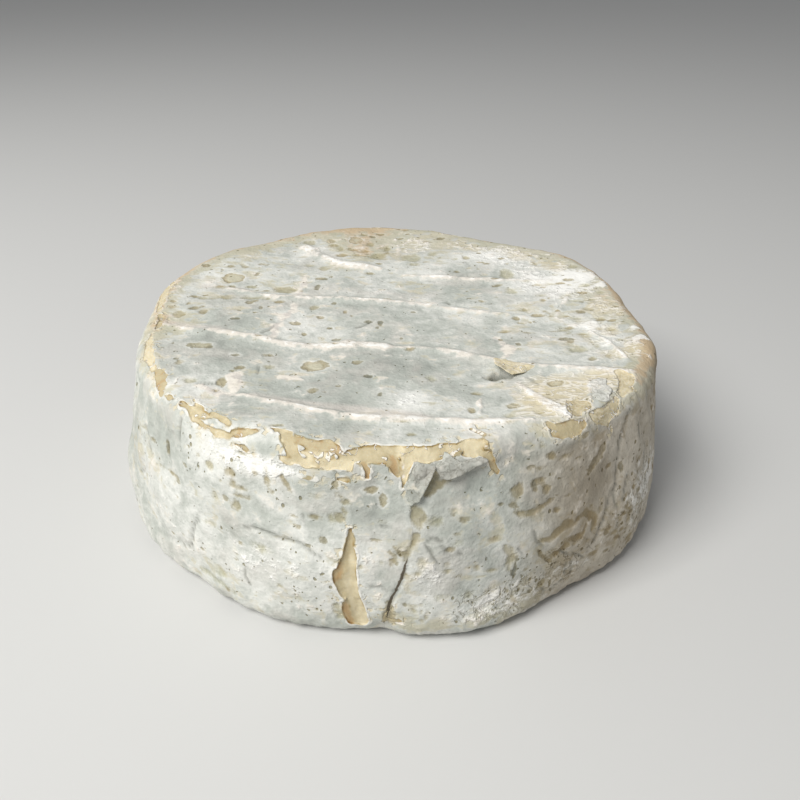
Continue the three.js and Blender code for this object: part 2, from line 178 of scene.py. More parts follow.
# Bare paste: depth, tone from pale to ochre, then the stroke.
BARE_STROKES = [
    (0.15, 0.15, [(193, -1.6, 0.4), (198, -1.7, 0.7), (203, -1.6, 0.9), (208, -1.8, 0.9),
                  (211, -1.6, 0.6)]),
    (0.15, 0.72, [(212, -2, 0.8), (214.6, -1.8, 1.1), (217, -1, 1.1), (218.8, 0, 0.7)]),
    (0.2, 0.5, [(220.4, -0.4, 0.3), (222.4, -0.6, 0.5), (224.2, -1.2, 0.3)]),
    (0.35, 0.55, [(225.6, -1.2, 0.4), (228, -1, 0.5), (230, -0.8, 0.7)]),
    (0.3, 0.45, [(226.6, -3, 0.2), (228.6, -2.4, 0.4), (230.6, -1.8, 0.5)]),
    (0.3, 0.3, [(230, -1.1, 0.6), (232, -1.0, 0.7), (233.6, -1.2, 0.4)]),
    (0.25, 0.5, [(234, -1.8, 0.4), (237, -1.6, 0.5), (239.4, -1.2, 0.5)]),
    (0.2, 0.4, [(231, 0, 0.5), (234, 0.5, 0.5), (237, 0.6, 0.4), (240.5, 0.3, 0.5)]),
    (0.25, 0.6, [(240.6, 0, 0.5), (242.4, -0.4, 0.7), (244.4, -1, 0.6), (245.6, -1.4, 0.3)]),
    (0.2, 0.5, [(242, 1.2, 0.2), (244.6, 1.4, 0.3)]),
    (0.3, 0.6, [(247.4, -2.2, 0.2), (249.4, -2.2, 0.3), (251.6, -2, 0.5)]),
    (0.3, 0.45, [(251, -1.4, 0.7), (252, -0.6, 0.9), (253, 0.4, 0.9), (254.4, 1.4, 0.7)]),
    (0.3, 0.72, [(253, -1.4, 0.7), (256, -0.8, 0.8), (259, -1, 0.7), (260.6, -0.6, 0.6),
                 (261.2, 0.1, 0.3)]),
    (0.25, 0.2, [(251.4, 1.6, 0.4), (254, 1.6, 0.5), (257, 1.5, 0.6), (260, 1.6, 0.8),
                 (262.6, 1.2, 0.8)]),
    (0.3, 0.4, [(254.6, 4.1, 0.2), (257, 3.9, 0.2)]),
    (0.25, 0.1, [(254.5, 0.4, 0.5), (257, 0.4, 0.6), (259.6, 0.4, 0.5)]),
    (0.3, 0.5, [(261, 3.8, 0.3), (262.4, 3.6, 0.3)]),
    (0.35, 0.45, [(262, 0.6, 0.6), (263.6, -0.4, 0.9), (266, -0.8, 1), (268.6, -1, 0.9),
                  (271, -1, 0.9)]),
    (0.3, 0.5, [(264, 0.5, 0.6), (266.6, 0.3, 0.6), (268.4, 0.4, 0.6), (270, 0.8, 0.7)]),
    (0.3, 0.25, [(272, -1, 0.9), (275, -1.2, 0.7), (278, -1.1, 0.8), (281, -1.2, 0.9),
                 (284, -1.3, 1), (286, -1.2, 0.7)]),
    (0.3, 0.3, [(273.8, -0.1, 0.7), (276, 0.1, 0.7), (278, 0, 0.4), (281, 0.1, 0.4), (285, 0, 0.7),
                (286.4, 0.6, 0.6)]),
    (0.3, 1.05, [(265.4, 1, 0.4), (266, 2, 0.6), (266, 3.2, 0.3)]),
    (0.3, 0.7, [(286.4, 0.6, 0.5), (287.2, 2, 0.5), (287.8, 3.2, 0.5), (288.2, 3.8, 0.3)]),
    (0.25, 0.5, [(285.6, -4.6, 0.2), (286.2, -3.4, 0.4), (287, -2.6, 0.5)]),
    (0.2, 0.62, [(299.6, -1.5, 0.5), (300.6, -0.4, 1.1), (302.6, 0, 1.2), (304.8, 0.2, 1),
                 (306.8, 0.1, 0.6)]),
    (0.15, 0.4, [(306.6, -2.1, 1.2), (308.6, -2.9, 1.7), (310.2, -2.7, 1.2)]),
    (0.15, 0.3, [(309, -0.6, 0.6), (311, 0.4, 1.4), (313.2, 0.8, 1.6), (315.4, 0.2, 1.3),
                 (317.4, -0.6, 0.7)]),
    (0.15, 0.4, [(312, 1.8, 0.4), (313.4, 2.6, 0.5), (314.6, 4.2, 0.3)]),
    (0.15, 0.3, [(319.6, -1, 0.8), (322.4, -1.6, 1.4), (325.4, -2.8, 1.4), (326.4, -4.2, 0.9)]),
    (0.2, 0.3, [(180, -1.6, 0.4), (175, -1.4, 0.8), (170, -1.2, 1), (165, -1.1, 0.9),
                (161, -1.2, 0.4)]),
    (0.2, 0.5, [(190, -2.4, 0.5), (186, -2.8, 0.7), (183, -2.2, 0.6)]),
    (0.1, 0.75, [(268.6, 29.4, 0.3), (268.8, 27.4, 0.5), (269.5, 25.8, 0.3)]),
    (0.1, 0.6, [(269.4, 29, 0.3), (270.8, 28.7, 0.5), (272, 29.6, 0.2)]),
]
# Peels on the side that faces away.
HIDDEN_PEELS = [
    (0.25, 0.5, [(60, -0.5, 0.5), (66, 0.2, 1.1), (73, -0.6, 1.4), (79, 0.2, 0.5)]),
    (0.3, 0.4, [(84, -0.4, 0.4), (90, -0.8, 1.5), (97, 0.4, 1.2), (104, -0.4, 0.7),
                (109, 0.2, 0.3)]),
    (0.2, 0.6, [(76, 2.2, 0.3), (82, 2.6, 0.6), (88, 2, 0.3)]),
    (0.3, 0.45, [(116, 1.4, 0.4), (121, 0.4, 0.9), (129, 0.6, 0.6)]),
    (0.3, 0.6, [(146, 3.4, 0.5), (149, 4.6, 1.0), (154, 5.2, 0.7)]),
    (0.12, 0.6, [(20, 6.0, 0.4), (22, 6.6, 0.7), (24, 8.4, 0.5), (25.6, 8.8, 0.3)]),
    (0.3, 0.4, [(30, 0.4, 0.4), (37, -0.2, 0.8), (45, 0.4, 0.9), (52, 0, 0.5)]),
]

# Bare paste with clean edges: the notch in the rim above the crack, and the tear in the wall.
TEAR_STROKES = [
    (0.5, 1.1, [(269.9, -0.6, 0.7), (270.4, 1, 0.9), (271.1, 2.6, 0.6)]),
    (0.5, -1.1, [(271.8, -1.2, 0.5), (271.9, 1.4, 0.5), (272, 3.2, 0.35)]),
    (0.5, 0.3, [(272.9, -0.8, 0.8), (272.8, 0.8, 0.7), (272.3, 2.2, 0.5), (271.9, 4.6, 0.2)]),
    (0.5, 0.7, [(263.1, 11.2, 0.1), (263.1, 13, 0.5), (262.8, 15.5, 0.8), (262.2, 17.6, 0.8),
                (261.4, 19.4, 0.9)]),
    (0.5, 0.7, [(261, 19.4, 0.9), (261.4, 21.4, 0.9), (262.1, 23.6, 0.8)]),
    (0.5, 0.2, [(263.4, 15, 0.5), (263, 18.6, 1), (262.9, 21, 1.2), (263.3, 23.6, 1.2),
                (263.9, 26, 1.3), (264.4, 29.4, 1.4)]),
    (0.4, 1.0, [(262.1, 25.6, 0.6), (262.2, 27.4, 0.8), (263, 29.8, 0.9)]),
]

# Folds in the rind of the wall: soft grooves along strokes.
FOLD_STROKES = [
    [(243, 15.4, 0.1), (246, 14.8, 0.4), (250.6, 15, 0.3), (254.6, 15.4, 0.1), (258.6, 17.4, 0.1)],
    [(234.4, 16.2, 0.2), (231.8, 18.6, 0.4), (229.9, 24.4, 0.4), (224.6, 25.8, 0.3),
     (221, 27, 0.1)],
    [(228.2, 0.6, 0.2), (227.8, 3, 0.4), (228, 6, 0.1)],
    [(321.4, 3, 0.3), (317.4, 6, 0.4), (316.8, 9, 0.3), (315.6, 13.8, 0.4), (312.6, 17.4, 0.5),
     (309, 23.4, 0.4), (305.4, 27.4, 0.1)],
    [(213.6, 15.6, 0.6), (210.8, 18, 0.8), (210.6, 24, 0.3)],
    [(60, 6.8, 0.5), (66, 16.8, 0.6), (78, 22.8, 0.5)],
    [(118, 25.8, 0.5), (131, 19.8, 0.6), (141, 20.8, 0.5)],
    [(14, 4, 0.4), (8, 12, 0.5), (9, 20, 0.4)],
]
FOLD_DEPTH = 0.28
THREAD_HEIGHT = 0.35

# Fine creases, on the wall and on the top face, painted dark as painted shade.
WALL_CREASES = [
    [(243.4, 15.1, 0), (246, 14.6, 0.1), (250.4, 14.9, 0.1), (254.6, 15.3, 0.1), (258.6, 17.3, 0)],
    [(232.6, 17.6, 0), (231.4, 19.4, 0.1), (230.2, 23, 0.05), (229.6, 24.8, 0.1), (227, 25.6, 0)],
    [(243.2, 22.6, 0), (243.4, 24.8, 0.05), (244.4, 26.2, 0.1)],
    [(275.4, 13.7, 0), (276.2, 12.9, 0.15), (277.3, 12.9, 0.2), (278.4, 13.3, 0)],
    [(275.4, 13.7, 0), (276.2, 14.8, 0.15), (277, 16.4, 0.15), (277.6, 17.4, 0)],
    [(278.2, 14, 0.1), (279.2, 15.6, 0.05)],
    [(281, 15.8, 0.1), (281.8, 16.3, 0)],
    [(291.8, 17.2, 0.05), (292.8, 18.6, 0.1)],
    [(294.9, 15, 0.1), (295.4, 17, 0.1), (296.8, 18.4, 0)],
    [(254.9, 10.2, 0), (254.6, 11.8, 0.1)],
    [(268.2, 10.8, 0), (269.4, 10.7, 0.1)],
    [(266.2, 21.6, 0), (269, 22, 0.05), (270.2, 22, 0)],
    [(304, 22.8, 0), (306, 24.2, 0.1), (307.4, 25.4, 0.05)],
    [(303.2, 24.6, 0.1), (303.4, 27.4, 0.05)],
    [(304.6, 25, 0), (305, 28, 0.1)],
    [(300.6, 20.8, 0), (302.8, 22.6, 0.1), (303.6, 23, 0)],
    [(298, 28, 0), (299.2, 29.6, 0.1)],
    [(315.4, 14, 0.1), (314.6, 15.4, 0.1), (315.2, 18.6, 0.1)],
    [(303.8, 28.6, 0), (300.4, 29.8, 0.1)],
    [(210, 19, 0), (213, 17.2, 0.2), (214, 16.4, 0)],
    [(228, 1.4, 0.1), (227.9, 3.6, 0.1), (228.3, 6.2, 0)],
    [(223.8, 6.6, 0), (223.8, 8, 0.2), (224, 9.4, 0.1)],
    [(213.8, 7.2, 0), (215.6, 7.4, 0.05), (217, 8.2, 0)],
    [(217.4, 8.6, 0), (217.2, 10, 0.1), (217.9, 11.4, 0)],
    [(211, 12.6, 0), (211.2, 14.4, 0.1), (210.6, 16.4, 0)],
    [(318, 5.2, 0), (317.2, 7, 0.1), (317, 8.4, 0)],
    [(316.4, 9.8, 0), (315.8, 12, 0.1), (314.8, 14, 0)],
    [(313.4, 16.6, 0), (311.4, 19.6, 0.05), (309.4, 22.8, 0)],
    [(321.4, 0.8, 0), (320, 2.6, 0.1), (318.8, 4.4, 0.1)],
    [(324, 5, 0), (323.4, 7.6, 0.1), (324, 9.6, 0)],
    [(328, 11, 0), (326.8, 14, 0.1), (327.2, 16.6, 0)],
    [(331, 16, 0), (329.4, 19.4, 0.1), (327.6, 22, 0)],
    [(319, 13, 0), (317.6, 16, 0.1), (316.8, 18, 0)],
    [(334, 7, 0), (333, 11, 0.1), (333.6, 14, 0)],
]
TOP_CREASES = [
    [(-24.4, -8.8, 0), (-23, -7.4, 0.15), (-22.2, -5.4, 0)],
    [(-7.4, -5.6, 0), (-5.4, -4, 0.1), (-3.8, -2.6, 0.2)],
    [(11.2, 6.2, 0.1), (11.9, 4.8, 0.1)],
    [(-32, -28.2, 0), (-29, -28, 0.15)],
    [(-22.8, -21.8, 0.1), (-22.6, -24.2, 0)],
    [(16.4, 28, 0), (17.4, 24.6, 0)],
    [(22.8, -25.8, 0), (24.2, -28.4, 0.1)],
]

# The crater in the top face, and beside it a leaf of rind that has lifted: x, y and lift. The crater's hollow
# is painted dark as painted shadow.
CRATER = [(16, -25, 0.4), (17.2, -25.3, 1), (18.4, -24.3, 1.2), (19.8, -25.1, 0.6)]
CRATER_DEPTH = 1.6
LEAF = [
    (17.6, -21, 1), (18.9, -20.2, 0.6), (20.6, -20.6, 0.2), (22.2, -20.9, 0), (23.8, -21.7, -0.1),
    (26, -22.5, -0.2), (23.8, -23.4, -0.2), (22, -24.8, 0), (20.4, -25.7, 0.3), (19.1, -25.6, 0.9),
    (18.2, -24.7, 1.2), (17.5, -23.2, 1.2),
]

# Spots on the top face: x, y, half length, half width, tone, and 1 where the middle is pale.
TOP_SPOTS = [
    (-34, 17.4, 2.4, 2.3, 0.6, 1), (-29.1, 20, 0.45, 0.9, 0.8, 0), (-22.2, 12.2, 3, 1.6, 0.45, 0),
    (-15.6, 13.4, 0.7, 1, 0.85, 0), (-13, 19, 0.4, 0.6, 0.8, 0), (-14.6, 23.8, 1.4, 1.3, 0.35, 0),
    (-18, 25.6, 1.2, 0.8, 0.3, 0), (-28.6, 5, 0.9, 0.8, 0.8, 0), (-22.6, 5.4, 1, 0.7, 0.6, 0),
    (-28, 7.2, 2.4, 0.7, 0.4, 0), (-33.5, 7.4, 1.7, 1.1, 0.4, 0), (-38, 6.4, 0.8, 0.8, 0.4, 0),
    (-43.4, 4.1, 0.6, 0.6, 0.7, 0), (-43.1, 1.4, 0.8, 0.6, 0.6, 0), (-40.4, 3.6, 0.4, 0.7, 0.6, 0),
    (-41, -1.6, 1, 1.5, 0.5, 0), (-36.5, -0.4, 0.7, 0.9, 0.6, 0), (-25.8, 1.8, 0.35, 0.8, 0.8, 0),
    (-15.4, 3, 1.1, 1.1, 0.45, 0), (-13.9, -0.9, 0.6, 0.5, 0.75, 1), (-11.6, 5.2, 0.5, 0.6, 0.8, 0),
    (-9.1, 1.2, 0.4, 0.6, 0.6, 0), (-30, -3.3, 0.9, 0.6, 0.85, 0), (-18.4, -3.8, 0.9, 0.9, 0.75, 0),
    (-16.4, -8.2, 0.5, 0.7, 0.75, 0), (-11.9, -5.3, 0.5, 0.5, 0.8, 1),
    (-10.2, -10.1, 0.8, 0.7, 0.85, 0), (-2.1, -3.2, 0.3, 0.8, 0.95, 0),
    (-4.2, -2.7, 0.8, 0.4, 0.9, 0), (-2.7, -5.4, 0.3, 0.3, 0.9, 0), (-34.6, -14.4, 2, 1, 0.4, 1),
    (-39.4, -13.8, 0.3, 0.3, 0.8, 0), (-27.5, -17.7, 0.7, 0.5, 0.9, 1),
    (-36.3, -21.6, 0.8, 0.9, 0.6, 0), (-37.2, -20.3, 0.3, 0.4, 0.95, 0),
    (-26, -22.3, 0.8, 0.7, 0.7, 0), (-21, -21.7, 0.9, 0.7, 0.4, 0), (-33.2, -27.4, 1, 1, 0.35, 0),
    (-27.9, -27.6, 0.9, 1.5, 0.6, 0), (-13.2, -21, 2.3, 1.9, 0.62, 1), (-6, -20, 0.9, 0.9, 0.7, 0),
    (-3.9, -25.3, 0.8, 0.5, 0.95, 0), (-8.8, -28.2, 0.4, 0.4, 0.8, 0),
    (-12.9, -29.8, 0.9, 0.8, 0.6, 0), (-1.9, -31, 0.25, 0.7, 0.9, 0),
    (6.6, -25.8, 0.8, 0.9, 0.3, 0), (-17, -42.3, 0.9, 0.4, 0.5, 0),
    (-20.3, -41.2, 0.3, 0.3, 0.9, 0), (12.4, -36.9, 0.5, 0.8, 0.7, 0),
    (9.2, -42.4, 0.9, 0.15, 0.85, 0), (2.9, -44, 0.8, 0.4, 0.5, 0), (1.3, -40.7, 0.9, 0.2, 0.4, 0),
    (4.3, 1.3, 0.5, 0.5, 0.9, 1), (1.8, -9.7, 0.2, 0.5, 0.8, 0), (25.2, 20.2, 1.6, 2.4, 0.35, 0),
    (33.6, 14.2, 1.2, 0.6, 0.35, 0), (21.2, -7.6, 1.2, 0.6, 0.55, 0),
    (26.1, -7.9, 0.8, 0.4, 0.65, 0), (31, -7.4, 1.2, 0.25, 0.6, 0), (20.1, -11.1, 0.4, 0.4, 0.8, 0),
    (23.1, -13.4, 0.45, 0.6, 0.85, 1), (33.2, -15.8, 2.2, 1.3, 0.3, 0),
    (35, -20.1, 0.8, 0.8, 0.5, 0), (27, -28.3, 1.3, 1.1, 0.45, 1), (38.4, 1, 1.3, 0.8, 0.4, 0),
    (44.2, -1.9, 0.8, 0.8, 0.4, 0), (39.8, -3, 0.9, 0.7, 0.35, 0), (41, -8.2, 1, 0.8, 0.35, 0),
    (36, -10.6, 0.9, 0.8, 0.35, 0), (41.4, -13, 0.9, 0.7, 0.4, 0), (26.4, 1.6, 0.9, 0.7, 0.4, 0),
    (30.6, 5.8, 0.7, 0.6, 0.6, 0), (22.6, 14, 0.9, 0.5, 0.5, 0), (24.8, 10.6, 1.2, 1.6, 0.25, 0),
    (9.9, 32, 1.2, 1.6, 0.35, 0), (17, 29.4, 0.9, 0.8, 0.45, 0), (4.6, 30.2, 2.2, 2.6, 0.3, 0),
    (-19.6, 39.2, 1.4, 1.4, 0.4, 0), (14.3, 21.6, 0.7, 0.6, 0.6, 0), (19, -36, 1.2, 1, 0.4, 1),
    (18, -39.2, 0.8, 0.7, 0.4, 0), (22.8, -38.4, 0.7, 0.9, 0.35, 0),
    (17.4, -41.4, 0.9, 0.3, 0.4, 0), (37.2, -15.2, 0.4, 1, 0.4, 0), (38, -18.6, 0.4, 0.9, 0.45, 0),
    (36.6, -12.8, 0.3, 0.6, 0.4, 0), (40.6, 12.2, 1.2, 0.8, 0.3, 0), (42.8, 8.3, 1, 0.7, 0.3, 0),
    (39.6, 5.2, 1.2, 0.6, 0.35, 0), (37, 5, 1, 0.5, 0.3, 0), (43.7, 3.4, 0.8, 0.5, 0.3, 0),
    (36.3, -2.5, 1.2, 0.5, 0.3, 0), (33.2, -1.6, 1, 0.5, 0.3, 0), (37.5, -12.5, 0.9, 0.6, 0.35, 0),
    (39.9, 22.6, 1.2, 1, 0.3, 0), (43.3, 13.9, 0.8, 0.6, 0.3, 0), (32.5, -7.1, 1, 0.5, 0.4, 0),
    (-14.4, 39.7, 1.1, 1.2, 0.5, 0), (-13.6, 37.2, 1, 0.8, 0.5, 0), (-8.5, 40.7, 1.6, 2, 0.45, 1),
    (-9.2, 35, 1.3, 1, 0.6, 0), (-6.4, 34.2, 1.4, 1, 0.5, 0), (-11.4, 31.5, 1.5, 0.8, 0.6, 0),
    (-3.1, 31, 2, 2, 0.35, 0), (-1.3, 36.5, 1.2, 2, 0.4, 0), (-5, 38.4, 1.1, 1.4, 0.45, 0),
    (-11.8, 35.2, 1, 1.2, 0.4, 0),
]

# Spots on the wall: direction, down, half length round the wall, half height, tone, pale middle.
WALL_SPOTS = [
    (223.6, 8, 0.5, 1.1, 0.6, 0), (218.6, 8.5, 0.8, 0.35, 0.6, 0), (214.8, 7.8, 0.9, 0.25, 0.6, 0),
    (216.8, 9.4, 0.3, 0.9, 0.4, 0), (226, 11.7, 1.2, 0.3, 0.6, 0), (227.4, 12.5, 0.5, 0.35, 0.8, 0),
    (222, 12, 0.9, 0.25, 0.5, 0), (236.4, 6.2, 0.8, 1, 0.45, 0), (241, 6.1, 1.1, 0.7, 0.62, 0),
    (242.6, 8.4, 1.7, 0.5, 0.62, 0), (241.6, 7.8, 0.6, 0.8, 0.6, 0), (243, 9.7, 1.3, 0.4, 0.6, 0),
    (241.9, 11.6, 0.9, 0.9, 0.5, 0), (246, 5.1, 0.5, 0.4, 0.7, 0), (248.2, 5.6, 0.4, 1.1, 0.62, 0),
    (249, 7.6, 0.5, 0.4, 0.6, 0), (243.6, 2.2, 0.5, 0.3, 0.5, 0), (245.8, 3.6, 0.3, 0.2, 0.7, 0),
    (239.4, 4, 0.4, 0.3, 0.5, 0), (235.8, 17.3, 0.9, 0.45, 0.35, 0),
    (246.8, 17.9, 1.5, 0.8, 0.25, 0), (242.6, 18.6, 0.6, 0.4, 0.7, 1),
    (233, 23.5, 0.5, 0.3, 0.8, 0), (241.2, 22, 0.3, 0.2, 0.8, 0), (237.4, 26.2, 1.3, 0.9, 0.2, 0),
    (257, 10.4, 0.9, 0.5, 0.6, 0), (261.4, 9.9, 1, 0.8, 0.5, 0), (262, 9, 0.5, 0.8, 0.5, 0),
    (259.8, 10.4, 0.4, 0.6, 0.4, 0), (262.6, 7.2, 0.8, 0.5, 0.5, 0),
    (257.5, 6.8, 0.9, 0.35, 0.5, 0), (261.4, 6.4, 0.5, 0.3, 0.5, 0), (268.6, 6.6, 0.6, 0.8, 0.5, 1),
    (267.4, 13.3, 0.6, 0.2, 0.7, 0), (271.8, 10.6, 0.4, 0.2, 0.85, 0),
    (264.9, 18.1, 0.5, 0.4, 0.5, 0), (253.8, 12.4, 0.5, 0.25, 0.7, 0),
    (253.4, 10.8, 0.5, 0.3, 0.6, 0), (277.2, 10, 1, 0.8, 0.35, 0), (280.3, 8.7, 0.6, 0.6, 0.4, 0),
    (272.4, 19.5, 0.6, 0.5, 0.5, 0), (275, 16.8, 0.7, 0.9, 0.4, 0), (291.6, 7.6, 1.2, 1.3, 0.55, 0),
    (290.8, 9.7, 0.6, 0.4, 0.8, 0), (296.2, 6.8, 1, 0.7, 0.65, 0), (297.4, 8.2, 0.7, 0.9, 0.65, 0),
    (299.3, 10, 0.4, 0.3, 0.8, 0), (296.4, 4.7, 0.9, 0.3, 0.55, 0), (301.6, 4, 1.2, 0.5, 0.5, 0),
    (304.4, 5.2, 0.6, 0.2, 0.8, 0), (287.6, 14.6, 1.3, 0.5, 0.55, 0),
    (284.4, 19.4, 0.6, 0.5, 0.55, 0), (287.2, 20.3, 1, 0.3, 0.5, 0),
    (302.4, 10.6, 0.6, 0.25, 0.7, 0), (303.6, 1.6, 0.3, 0.25, 0.9, 0),
    (317.3, 11.7, 0.6, 0.9, 0.9, 0), (316.5, 6.7, 0.4, 0.3, 0.8, 0), (313, 9.7, 0.7, 0.4, 0.7, 0),
    (312.3, 22.3, 0.5, 0.4, 0.8, 0), (316.6, 21.4, 0.5, 0.6, 0.6, 0),
    (318.8, 21.2, 0.3, 0.9, 0.6, 0), (317, 22.7, 0.8, 0.3, 0.6, 0), (322, 28.6, 1.2, 0.5, 0.6, 0),
    (304.8, 27.8, 0.5, 0.3, 0.9, 0), (295.2, 27.5, 0.5, 0.3, 0.95, 0), (297.8, 27, 0.8, 1, 0.5, 0),
    (283, 24.4, 0.5, 0.7, 0.35, 0), (278.4, 24, 0.8, 0.5, 0.3, 0), (274.2, 18.9, 0.4, 0.6, 0.45, 0),
    (272.2, 25.4, 0.2, 0.35, 0.8, 0), (272.8, 25.6, 0.2, 0.3, 0.8, 0),
    (273.3, 25.6, 0.2, 0.35, 0.8, 0), (276, 26.8, 0.3, 0.4, 0.55, 0),
    (275.8, 27.7, 0.35, 0.5, 0.55, 0), (275, 28.6, 0.3, 0.4, 0.55, 0),
    (275, 26.6, 0.3, 0.3, 0.5, 0), (274.8, 25.4, 0.25, 0.3, 0.5, 0),
    (273.8, 26.6, 0.3, 0.4, 0.4, 0),
]

# Small spots drawn at random. On the wall: direction, down, spread in degrees, spread down, count.
SCATTER_WALL = [
    (303, 12, 24, 11, 40), (318, 22, 10, 8, 44), (250, 12, 26, 10, 22), (258, 22, 20, 8, 4),
    (218, 14, 14, 12, 6), (338, 15, 14, 14, 40), (30, 15, 40, 12, 60), (95, 15, 40, 12, 50),
    (155, 15, 32, 12, 40),
]
# On the top face: x, y, spread, count.
SCATTER_TOP = [
    (-30, 14, 16, 44), (30, 12, 18, 56), (0, 0, 44, 20), (4, 38, 14, 36), (-20, -20, 18, 6),
    (38, -8, 8, 16), (-14, 28, 14, 16),
]
SMALLEST_SPOT = 0.2

# Winding stains on the wall: tone, then the stroke.
WALL_STAINS = [
    (0.5, [(273.6, 7.8, 0.8), (274.3, 9, 1), (274.4, 10.2, 0.9)]),
    # The first of the next two stains is painted shade along the first flap's right edge. The second is a
    # brown patch beside it, darkened with painted shade.
    (0.65, [(277.4, 2.8, 0.6), (277, 4.2, 1.1), (276.2, 5.6, 0.7)]),
    (0.6, [(276.8, 4.8, 0.6), (278.2, 4.4, 0.6), (279.8, 3.9, 0.3)]),
    (0.4, [(260.8, 26.4, 0.7), (261, 28.6, 0.9)]),
    (0.6, [(291.6, 11, 0.5), (293, 11.6, 0.6), (295.4, 11.7, 0.6), (297.4, 10.9, 0.5),
           (298.6, 10.4, 0.3)]),
    (0.62, [(296.4, 17.3, 0.6), (298.4, 17.7, 0.7), (299.8, 16.5, 0.7), (301.6, 15.9, 0.9),
            (303.4, 16.3, 0.6)]),
    (0.58, [(304.2, 15.8, 0.5), (306.4, 15.8, 0.7), (308, 16.6, 0.8), (308.9, 18, 0.9),
            (308.8, 19.8, 0.6)]),
    (0.65, [(300, 21.4, 0.5), (302.4, 20.4, 0.7), (301.8, 19, 0.6), (303.8, 19.8, 0.5),
            (306, 19.2, 0.6), (306.6, 17.8, 0.5)]),
    (0.8, [(306.7, 8, 0.3), (307.2, 8.9, 0.4), (307.8, 8, 0.6), (309, 7.4, 0.8), (310.6, 6.8, 0.8),
           (311.8, 5.4, 0.5)]),
    (0.62, [(251, 4.6, 0.35), (251.8, 5.6, 0.35), (252.8, 6.8, 0.25)]),
    (0.45, [(289.4, 16.4, 0.5), (290.6, 18.4, 0.8), (290.4, 20.6, 0.7)]),
    # Painted shadow: the next stain is the dark shade along the right of the pinkish strip listed before it.
    (0.95, [(291.6, 19.6, 0.2), (291.3, 22.4, 0.5)]),
    (0.3, [(231.6, 28.6, 0.5), (235, 28.4, 0.6), (240, 29, 0.5)]),
    (0.64, [(269.5, 24.6, 0.4), (269.3, 27, 0.8), (269.9, 29, 0.8)]),
    (0.5, [(274, 12.4, 0.5), (273.5, 13.4, 0.5), (273, 14.4, 0.4), (272.2, 16.4, 0.2)]),
    (0.75, [(269.9, 13.7, 0.2), (270.8, 14.5, 0.25), (271.4, 15.5, 0.2)]),
    (0.7, [(269.6, 17.5, 0.15), (270.1, 16.5, 0.25), (271, 17.2, 0.15)]),
    (0.7, [(270.6, 15.9, 0.2), (269.7, 15.1, 0.15)]),
    (0.75, [(296, 19, 0.2), (297.6, 21.4, 0.3), (299, 22.4, 0.2)]),
    (0.5, [(290, 25, 0.3), (292.4, 28.8, 0.4)]),
]

# Where the bloom is thin, so that beige shows through: direction, down, reach in degrees, reach
# down, and how thin.
THIN_AREAS = [
    (316, -1, 14, 3, 0.35), (299, -1, 6, 3, 0.3), (330, 0, 12, 5, 0.4), (303, 18, 12, 6, 0.34),
    (325, 19, 14, 14, 0.15), (290, 27, 10, 5, 0.22), (300, 26, 8, 5, 0.3), (236, 3, 10, 3, 0.2),
    (270, 28, 5, 4, 0.3), (272, 16, 3, 4, 0.25), (236, 28, 6, 3, 0.3), (212, 12, 6, 3, 0.3),
    (205, 16, 5, 5, 0.3), (283, 17, 6, 4, 0.2), (260, 4, 6, 2.5, 0.2), (250, 22, 10, 8, 0.12),
    (176, -2, 12, 2, 0.6), (190, -2.4, 8, 2, 0.6), (205, -1.6, 12, 2, 0.6), (150, -2, 16, 3, 0.4),
    (105, -3, 20, 4, 0.4), (40, -3, 34, 4, 0.35), (0, -2, 20, 3, 0.35), (100, -0.8, 60, 1.6, 0.5),
    (10, -0.8, 34, 1.6, 0.5), (337, -1, 10, 3, 0.9), (110, -0.8, 56, 1.5, 0.7),
    (14, -0.6, 36, 1.6, 0.7), (168, -1.4, 16, 1.5, 0.8), (135, -3.4, 22, 1.8, 0.5),
    (100, -3, 16, 2, 0.9), (285, 30, 20, 2, 0.4), (60, 6, 20, 10, 0.2), (130, 12, 26, 12, 0.2),
    (10, 14, 22, 14, 0.3), (170, 18, 20, 12, 0.15),
]
# The same on the top face: x, y, reach, how thin.
THIN_TOP = [
    (5, 14, 4, 0.45), (-7, 37, 7, 0.8), (-7, 42, 7, 0.5), (10, 40, 8, 0.4), (25, 36, 7, 0.3),
    (38, 26, 6, 0.2), (42, 5, 6, 0.4), (-6, 31, 4, 0.5), (5, 30, 4, 0.3), (13, 36, 6, 0.3),
    (-34, 20, 8, 0.2), (-36, 8, 8, 0.22), (-30, 28, 9, 0.25), (36, -14, 6, 0.25), (40, -3, 7, 0.3),
    (42, 9, 5, 0.4), (36, 25, 6, 0.35), (22, -36, 5, 0.35), (-23, -27, 5, 0.3), (-22, 12, 4, 0.3),
    (26, 3, 7, 0.15), (-41, -5.4, 4, 0.7), (-15, 22, 7, 0.15), (28, -7, 6, 0.12), (-3, 46, 6, 0.5),
]

